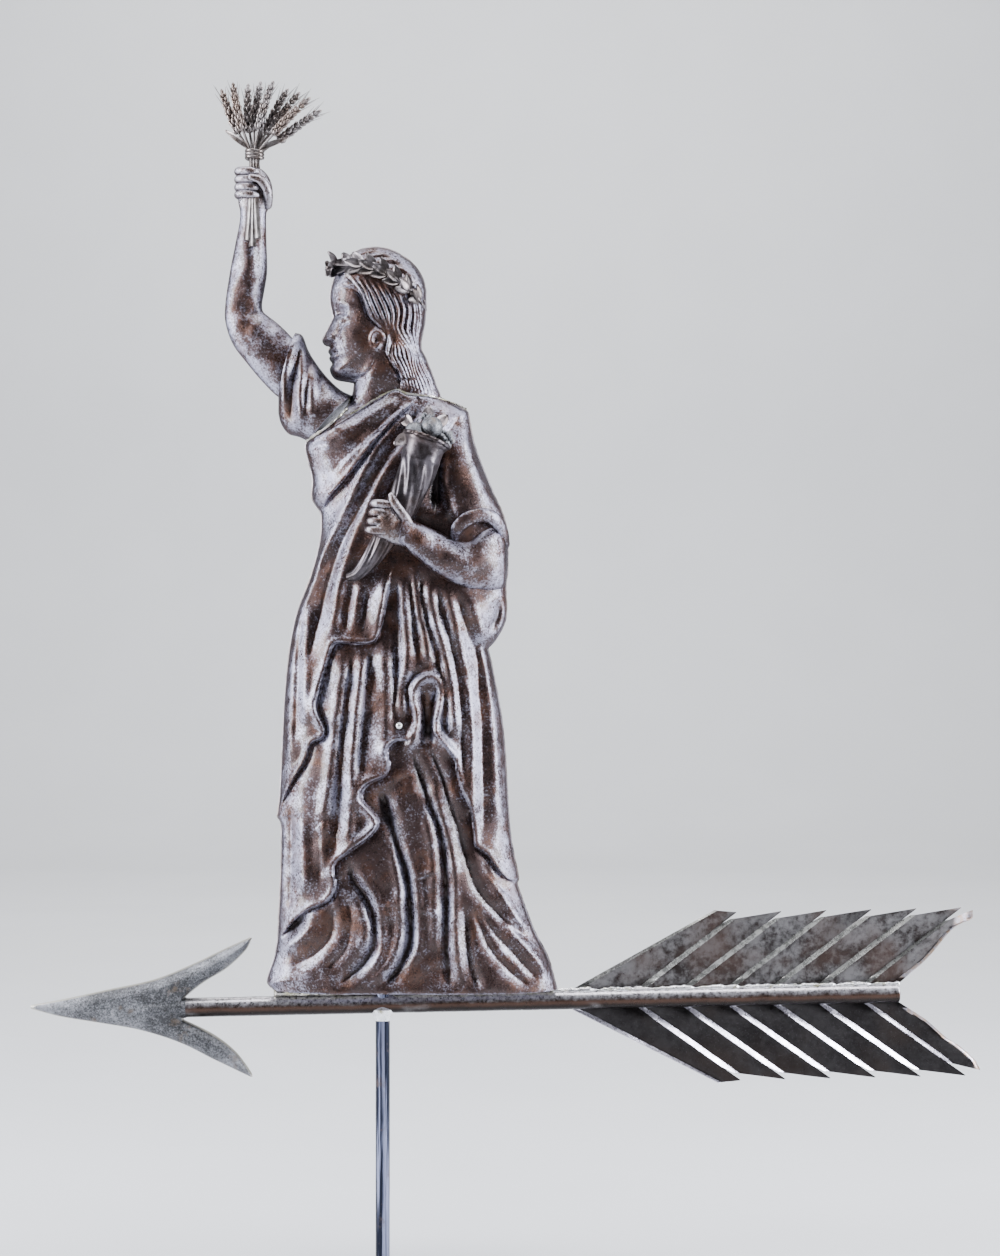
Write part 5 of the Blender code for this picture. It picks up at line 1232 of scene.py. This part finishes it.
def grain_into(bm, place, heading, length, radius):
    made = bmesh.ops.create_icosphere(bm, subdivisions=1, radius=1)
    size = Matrix.Diagonal((radius, radius, length * 0.5, 1))
    matrix = Matrix.Translation(place) @ upright_to(heading) @ size
    bmesh.ops.transform(bm, verts=made["verts"], matrix=matrix)


def awn_into(bm, start, end):
    heading = end - start
    made = bmesh.ops.create_cone(bm, cap_ends=True, segments=5, radius1=0.42, radius2=0.1,
                                 depth=heading.length)
    matrix = Matrix.Translation((start + end) / 2) @ upright_to(heading.normalized())
    bmesh.ops.transform(bm, verts=made["verts"], matrix=matrix)


# The arrow

def make_arrowhead():
    """The cast head: two wings that share a middle line."""
    upper = spline(HEAD_UPPER, 0.5)
    upper_back = spline(HEAD_UPPER_BACK, 0.5)
    lower = spline(HEAD_LOWER, 0.5)
    lower_back = spline(HEAD_LOWER_BACK, 0.5)
    rims = [upper, upper_back, lower, lower_back, np.array([upper[-1], upper_back[-1]]),
            np.array([lower[-1], lower_back[-1]]), np.array([upper_back[0], lower_back[0]]),
            np.array([upper[0], HEAD_POINT, lower[0]])]
    middle = spline([HEAD_POINT, (30, 1.0), (68.9, 0)], 0.5)
    scale = ARROWHEAD_LENGTH / 100
    bm = bmesh.new()
    for outer, back in ((upper, upper_back), (lower, lower_back)):
        part, across, along = grid(26, 150)
        inner_at = places_at(np.vstack([middle, back]), along)
        outer_at = places_at(outer, along)
        points = inner_at + across[:, None] * (outer_at - inner_at)
        rim = np.min([nearest_on(points, line)[0] for line in rims], axis=0)
        full = ARROWHEAD_HALF_DEPTH / scale * np.interp(points[:, 0], [0, 35, 70, 100], [0.3, 0.75, 1, 0.7])
        depth = np.where(rim < 0.005, 0, swell(rim, full, 5.4))
        uneven = 0.09 * wobble(points, 9, 8) + 0.04 * wobble(points, 3, 9)
        depth = np.where(depth > 0, np.maximum(depth + uneven * soft_step(rim / 1.5), 0.05), 0)
        move_to(part.verts, np.column_stack([points[:, 0], -depth, points[:, 1]]))
        store(part, "edge", [max(0, 1.1 - near / 1.3) + max(0, 1 - abs(share) / 0.03)
                             for near, share in zip(rim, points[:, 0] / 100)])
        far = bmesh.ops.duplicate(part, geom=part.verts[:] + part.edges[:] + part.faces[:])["geom"]
        for vert in verts_in(far):
            vert.co.y = -vert.co.y
        join_into(bm, part)
    bmesh.ops.remove_doubles(bm, verts=bm.verts, dist=0.02)
    close_openings(bm)
    bmesh.ops.scale(bm, verts=bm.verts, vec=(scale, scale, scale))
    bmesh.ops.translate(bm, verts=bm.verts, vec=(0.0002 - ARROWHEAD_REACH, 0, 0))
    socket = [(-SHAFT_FRONT + back, 0, 0, SHAFT_RADIUS * share)
              for back, share in ((-0.080, 0.55), (-0.045, 1.08), (-0.012, 1.17), (0.0015, 1.01))]
    tube_into(bm, socket, 48, 0.002, rounded=False)
    along_arrow(bm)
    piece("cast_arrowhead", bm, CAST, ["arrow_head"])


def barb_place(index, rise):
    """A point on a barb's fold line, at a rise above the shaft's top."""
    start = FLETCH_FRONT
    if index > 0:
        start += FIRST_BARB + (index - 1) * BARB_PITCH
    return start + rise / math.tan(BARB_SLOPE)


def barb_top(barb):
    return BARB_RISE + BARB_TIP + (0 if barb else FIRST_TIP_EXTRA)


def barb_points(barb, local, along, pitch, bent):
    """Where a barb's points lie along the shaft, and their rise above it."""
    run = math.tan(BARB_SLOPE)
    if barb == 0:
        rise = along * (barb_top(0) - FIRST_TIP_EXTRA * local)
        lean = (barb_place(1, BARB_RISE) - 0.004 - FLETCH_FRONT) / barb_top(0)
        left = FLETCH_FRONT + rise * lean
        right = barb_place(1, 0) + rise / run
        return left + local * (right - left), rise
    if barb < BARBS - 1:
        rise = along * (BARB_RISE + np.interp(local, [0, 0.063, 1], [0, 0.5, 1]) * BARB_TIP)
        return barb_place(barb, 0) + local * pitch + rise / run, rise
    left_x = barb_place(barb, 0) + along * BARB_RISE / run
    left_z = along * BARB_RISE
    edge = evenly_at(bent, along)
    return left_x + local * (SHAFT_BACK + edge[:, 0] - left_x), left_z + local * (edge[:, 1] - left_z)


def make_fletching(name, side, strip, bent_edge, replaced, material):
    """Seven barbs of one folded sheet; side is 1 above the shaft and -1 below it."""
    base = SHAFT_RADIUS - 0.0006
    bm = bmesh.new()
    flank = strip / math.sin(BARB_SLOPE)
    bent = spline(bent_edge, 0.001)
    chance = np.random.default_rng(SEED + (20 if side > 0 else 30))
    for barb in range(BARBS):
        part, across, along = grid(34, 48)
        pitch = FIRST_BARB if barb == 0 else BARB_PITCH
        split = min(0.9, flank / pitch)
        local = np.where(across < 0.3, across / 0.3 * split, split + (across - 0.3) / 0.7 * (1 - split))
        x, rise = barb_points(barb, local, along, pitch, bent)
        foot = 0.3 if barb == 0 else 0
        proud = np.where(local < split, foot + (1 - foot) * local / split, (1 - local) / (1 - split))
        if side < 0:
            proud = 1 - proud
        lift = FLETCH_FOLD * (proud - 0.5) * np.clip(rise / 0.010, 0, 1)
        crumple = soft_step((rise - 0.045) / 0.03) * chance.uniform(-1, 1) * np.sin(math.pi * local)
        flat = np.column_stack([x, rise]) * 1000
        lift = lift + 0.0011 * crumple + 0.00030 * wobble(flat, 34, 10)
        # Painted highlight on each barb's bent strip (1) and a thin painted shade line at the far side of its
        # panel (-1), kept in the strip attribute.
        bright = np.where(local < split * (0.84 if side < 0 else 0.92), 1.0, 0.0)
        bright = np.where(local > 0.968, -1.0, bright)
        glint = soft_step((rise - barb_top(barb) + 0.004) / 0.004) * soft_step((local - 0.55) / 0.3)
        glint = 0.5 * glint * chance.uniform(0.2, 1) * (side > 0)
        if barb == BARBS - 1:
            wavy = 0.12 + 0.04 * np.sin(9 * along + 1)
            glint = np.maximum(glint, np.where((1 - local < wavy) & (rise > 0.006), 0.75, 0.0))
            tip_from = 0.058 if side > 0 else 0.078
            glint = np.maximum(glint, 0.7 * soft_step((x - SHAFT_BACK - tip_from) / 0.008))
            lift = lift - FLETCH_FOLD * np.clip((x - SHAFT_BACK - 0.045) / 0.04, 0, 1) ** 2
            lift = lift + 0.0022 * np.exp(-((1 - local) / 0.10) ** 2) * side * np.clip(rise / 0.02, 0, 1)
        move_to(part.verts, np.column_stack([x, -lift, side * (base + rise)]))
        store(part, "strip", bright)
        store(part, "glint", glint)
        bmesh.ops.solidify(part, geom=part.faces[:], thickness=-SHEET_THICKNESS * side)
        bmesh.ops.recalc_face_normals(part, faces=part.faces)
        join_into(bm, part)
    along_arrow(bm)
    piece(name, bm, material, [replaced], smooth_angle=24)


def lathe(profile, steps):
    """A profile of radius and height, turned about Z."""
    bm = bmesh.new()
    verts = [bm.verts.new((radius, 0, height)) for radius, height in profile]
    edges = [bm.edges.new(pair) for pair in zip(verts, verts[1:])]
    bmesh.ops.spin(bm, geom=verts + edges, cent=(0, 0, 0), axis=(0, 0, 1), dvec=(0, 0, 0), angle=2 * math.pi,
                   steps=steps, use_merge=True, use_duplicate=False)
    tidy(bm)
    return bm


def make_shaft():
    """The tube, a little uneven, with a rolled end."""
    bm = bmesh.new()
    length = SHAFT_BACK + SHAFT_FRONT
    radius = SHAFT_RADIUS - 0.0003
    course = [(-SHAFT_FRONT, 0, 0, radius), (0, 0, 0, radius), (SHAFT_BACK - 0.004, 0, 0, radius)]

    def used(angle, along):
        spots = np.column_stack([along * length * 1000, np.cos(angle) * 11, np.sin(angle) * 11])
        return 1 - 0.012 * np.abs(wobble(spots, 60, 40)) - 0.006 * np.abs(wobble(spots, 14, 41))

    tube_into(bm, course, 64, 0.003, rounded=False, shape=used)
    end = [(SHAFT_BACK - 0.005, 0, 0, radius), (SHAFT_BACK - 0.002, 0, 0, radius),
           (SHAFT_BACK - 0.0008, 0, 0, radius * 0.96), (SHAFT_BACK, 0, 0, radius * 0.86)]
    tube_into(bm, end, 64, 0.0006, rounded=False)
    along_arrow(bm)
    piece("shaft_tube_body", bm, TUBE, ["arrow_shaft"])


def bead_into(bm, course, radius, columns, spacing, seed, flat=1.0):
    """A lumpy run of solder along a course of x, y, z."""
    course = spline(course, spacing)
    lumps = 1 + 0.32 * wobble(course * 1000, 9, seed) + 0.2 * wobble(course * 1000, 31, seed + 1)
    points = [(*spot, radius * max(0.3, lump)) for spot, lump in zip(course, lumps)]
    tube_into(bm, points, columns, spacing, flat=flat)


def make_fletching_solder():
    bm = bmesh.new()
    top = SHAFT_RADIUS
    for side in (-1, 1):
        line = [(FLETCH_FRONT - 0.02, side * 0.0024, top - 0.0008), (0.39, side * 0.0026, top - 0.0006),
                (SHAFT_BACK - 0.002, side * 0.0024, top - 0.0008)]
        bead_into(bm, line, 0.0024, 10, 0.0022, 50 + side)
    along_arrow(bm)
    piece("fletching_solder", bm, SOLDER)


def make_hem_solder(name, start, end, node):
    """The strip of solder that fills the gap between the shaft and the hem."""
    bm, along, around = grid(int((end - start) * 0.9), 22)
    u = start + along * (end - start)
    angle = 2 * math.pi * around
    low = (SHAFT_AXIS_Z - HEM_Z) / STEP + 0.9 * SHAFT_RADIUS / STEP + u * math.tan(ARROW_TILT)
    high = 1.2 + 0.7 * wobble(np.column_stack([u, u]), 17, 70)
    wide = 5.4 + 1.6 * wobble(np.column_stack([u, angle * 4]), 13, 71) + 1.5 * (1 - np.sin(angle))
    v = 0.5 * (low + high) + 0.5 * (high - low) * np.sin(angle)
    ends = np.sqrt(np.clip(np.minimum(along, 1 - along) * (end - start) / 3, 0, 1))
    close_ring(bm, np.column_stack([u * STEP, -wide * np.cos(angle) * STEP * ends, HEM_Z + v * STEP]))
    piece(name, bm, GREEN_SOLDER, [node])


def make_shoulder_solder():
    bm = bmesh.new()
    for side in (1, -1):
        for line, lift, radius, spacing, seed, flat in ((SHOULDER_BEAD, 0.6, 0.0012, 0.0022, 80, 1.1),
                                                        (COLLAR_BEAD, 0.8, 0.0009, 0.002, 82, 1.0)):
            course = []
            for u, v in spline(line, 3):
                depth = depth_at(u, v) + lift
                course.append((u * STEP, -side * depth * STEP, HEM_Z + v * STEP))
            bead_into(bm, course, radius, 8, spacing, seed, flat)
    piece("shoulder_solder", bm, GREEN_SOLDER)


def make_spindle():
    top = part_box("spindle")[1].z
    radius = SPINDLE_RADIUS
    profile = [(0, top), (0.0014, top), (radius, top - 0.007), (radius, 0.2), (radius, 0.1), (radius, 0.0015),
               (radius - 0.0004, 0.0005), (radius - 0.0015, 0), (0, 0)]
    piece("spindle_bar", lathe(profile, 96), STEEL, ["spindle"], body="spindle")


def make_collar():
    """The guide ring under the shaft, flared and soldered where it meets it."""
    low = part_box("spindle_collar")[0].z
    inner = BORE_RADIUS
    outer = BORE_RADIUS + COLLAR_WALL
    top = SHAFT_AXIS_Z
    profile = [(inner, top), (outer + 0.0026, top - 0.006), (outer + 0.0021, top - 0.0098),
               (outer + 0.0012, top - 0.0112), (outer + 0.0004, top - 0.0125), (outer, low + 0.0012),
               (outer - 0.0002, low + 0.0004), (outer - 0.0008, low), (inner + 0.0003, low),
               (inner, low + 0.0003), (inner, top)]
    piece("guide_collar", lathe(profile, 96), SOLDER, ["spindle_collar"])


def make_rivet():
    u, v = RIVET_PLACE
    depth = depth_at(u, v) + relief(np.array([RIVET_PLACE]), ROBE_RELIEF)[0]
    bm = bmesh.new()
    made = bmesh.ops.create_uvsphere(bm, u_segments=32, v_segments=20, radius=RIVET_RADIUS)
    bmesh.ops.scale(bm, verts=made["verts"], vec=(1, 0.75, 1))
    bmesh.ops.translate(bm, verts=made["verts"], vec=(u, -depth, v))
    steps_to_metres(bm)
    piece("rivet_head", bm, SOLDER, ["robe_rivet"])


make_figure()
make_seams()
make_arm()
make_forearm()
make_horn()
make_fruit()
make_wreath()
make_sheaf()
make_arrowhead()
make_fletching("upper_fletching", 1, UPPER_STRIP, UPPER_BENT_EDGE, "fletching_upper", UPPER_SHEET)
make_fletching("lower_fletching", -1, LOWER_STRIP, LOWER_BENT_EDGE, "fletching_lower", LOWER_SHEET)
make_shaft()
make_fletching_solder()
make_hem_solder("front_hem_solder", -109, -9, "saddle_front")
make_hem_solder("rear_hem_solder", 9, 172, "saddle_rear")
make_shoulder_solder()
make_spindle()
make_collar()
make_rivet()


# The studio

CAMERA_PLACE = (0.129, -2.6, 0.7240)
VIEW_HEIGHT = 1.3816
SENSOR = 36
FLOOR_FRONT = -7
FLOOR_HALF_WIDTH = 8
BEND_START = 4.6
BEND_RADIUS = 1.4
BACKDROP_HEIGHT = 6.0
LIGHT_AIM = (0.1, 0, 0.75)
LIGHTS = (
    ("left_softbox", (-2.3, -0.75, 1.35), LIGHT_AIM, (0.80, 2.2), 240, (0.90, 0.93, 1.0)),
    ("right_softbox", (2.4, -0.45, 1.25), LIGHT_AIM, (0.66, 2.2), 218, (0.90, 0.93, 1.0)),
    ("top_softbox", (0.1, -0.35, 3.1), LIGHT_AIM, (2.2, 1.0), 105, (0.96, 0.96, 1.0)),
    ("backdrop_light", (0, 2.6, 4.2), (0, 5.4, 0.6), (5.0, 1.0), 350, (1, 1, 1)),
)
WORLD_COLOUR = (0.30, 0.31, 0.35, 1)
WORLD_STRENGTH = 0.22


def plain_material(name, colour, roughness):
    made = Finish(name, 0, roughness)
    tint = made.mix(made.ramp(made.noise(2.5, 3, 0.5), 0.3, 0.7), colour, tuple(0.97 * c for c in colour))
    return made.finish(tint, made.ramp(made.noise(6, 2, 0.5), 0.3, 0.7, roughness - 0.03, roughness + 0.03))


def make_studio():
    """A pale floor that turns up into a backdrop."""
    bm = bmesh.new()
    profile = [(FLOOR_FRONT, 0), (BEND_START, 0)]
    for step in range(1, 13):
        angle = math.pi / 2 * step / 12
        height = BEND_RADIUS - BEND_RADIUS * math.cos(angle)
        profile.append((BEND_START + BEND_RADIUS * math.sin(angle), height))
    profile.append((BEND_START + BEND_RADIUS, BACKDROP_HEIGHT))
    verts = [bm.verts.new((-FLOOR_HALF_WIDTH, y, z - 0.0005)) for y, z in profile]
    edges = [bm.edges.new(pair) for pair in zip(verts, verts[1:])]
    made = bmesh.ops.extrude_edge_only(bm, edges=edges)["geom"]
    bmesh.ops.translate(bm, verts=verts_in(made), vec=(2 * FLOOR_HALF_WIDTH, 0, 0))
    bmesh.ops.recalc_face_normals(bm, faces=bm.faces)
    mesh = bpy.data.meshes.new("studio_floor")
    bm.to_mesh(mesh)
    bm.free()
    mesh.shade_smooth()
    mesh.materials.append(plain_material("pale_floor", (0.60, 0.61, 0.63), 0.75))
    floor = add_object("studio_floor", mesh)


def add_light(name, place, aim, size, power, colour):
    light = bpy.data.lights.new(name, "AREA")
    light.shape = "RECTANGLE"
    light.size, light.size_y = size
    light.energy = power
    light.color = colour
    obj = add_object(name, light)
    obj.location = place
    obj.rotation_euler = (Vector(aim) - Vector(place)).to_track_quat("-Z", "Y").to_euler()


def make_world():
    world = bpy.data.worlds.new("studio_air")
    world.use_nodes = True
    inputs = world.node_tree.nodes["Background"].inputs
    inputs["Color"].default_value = WORLD_COLOUR
    inputs["Strength"].default_value = WORLD_STRENGTH
    bpy.context.scene.world = world


def make_camera():
    data = bpy.data.cameras.new("camera")
    data.sensor_width = SENSOR
    data.lens = SENSOR * -CAMERA_PLACE[1] / VIEW_HEIGHT
    data.clip_start = 0.1
    data.clip_end = 30
    camera = add_object("camera", data)
    camera.location = CAMERA_PLACE
    camera.rotation_euler = (math.pi / 2, 0, 0)
    bpy.context.scene.camera = camera


make_studio()
for light in LIGHTS:
    add_light(*light)
make_world()
make_camera()
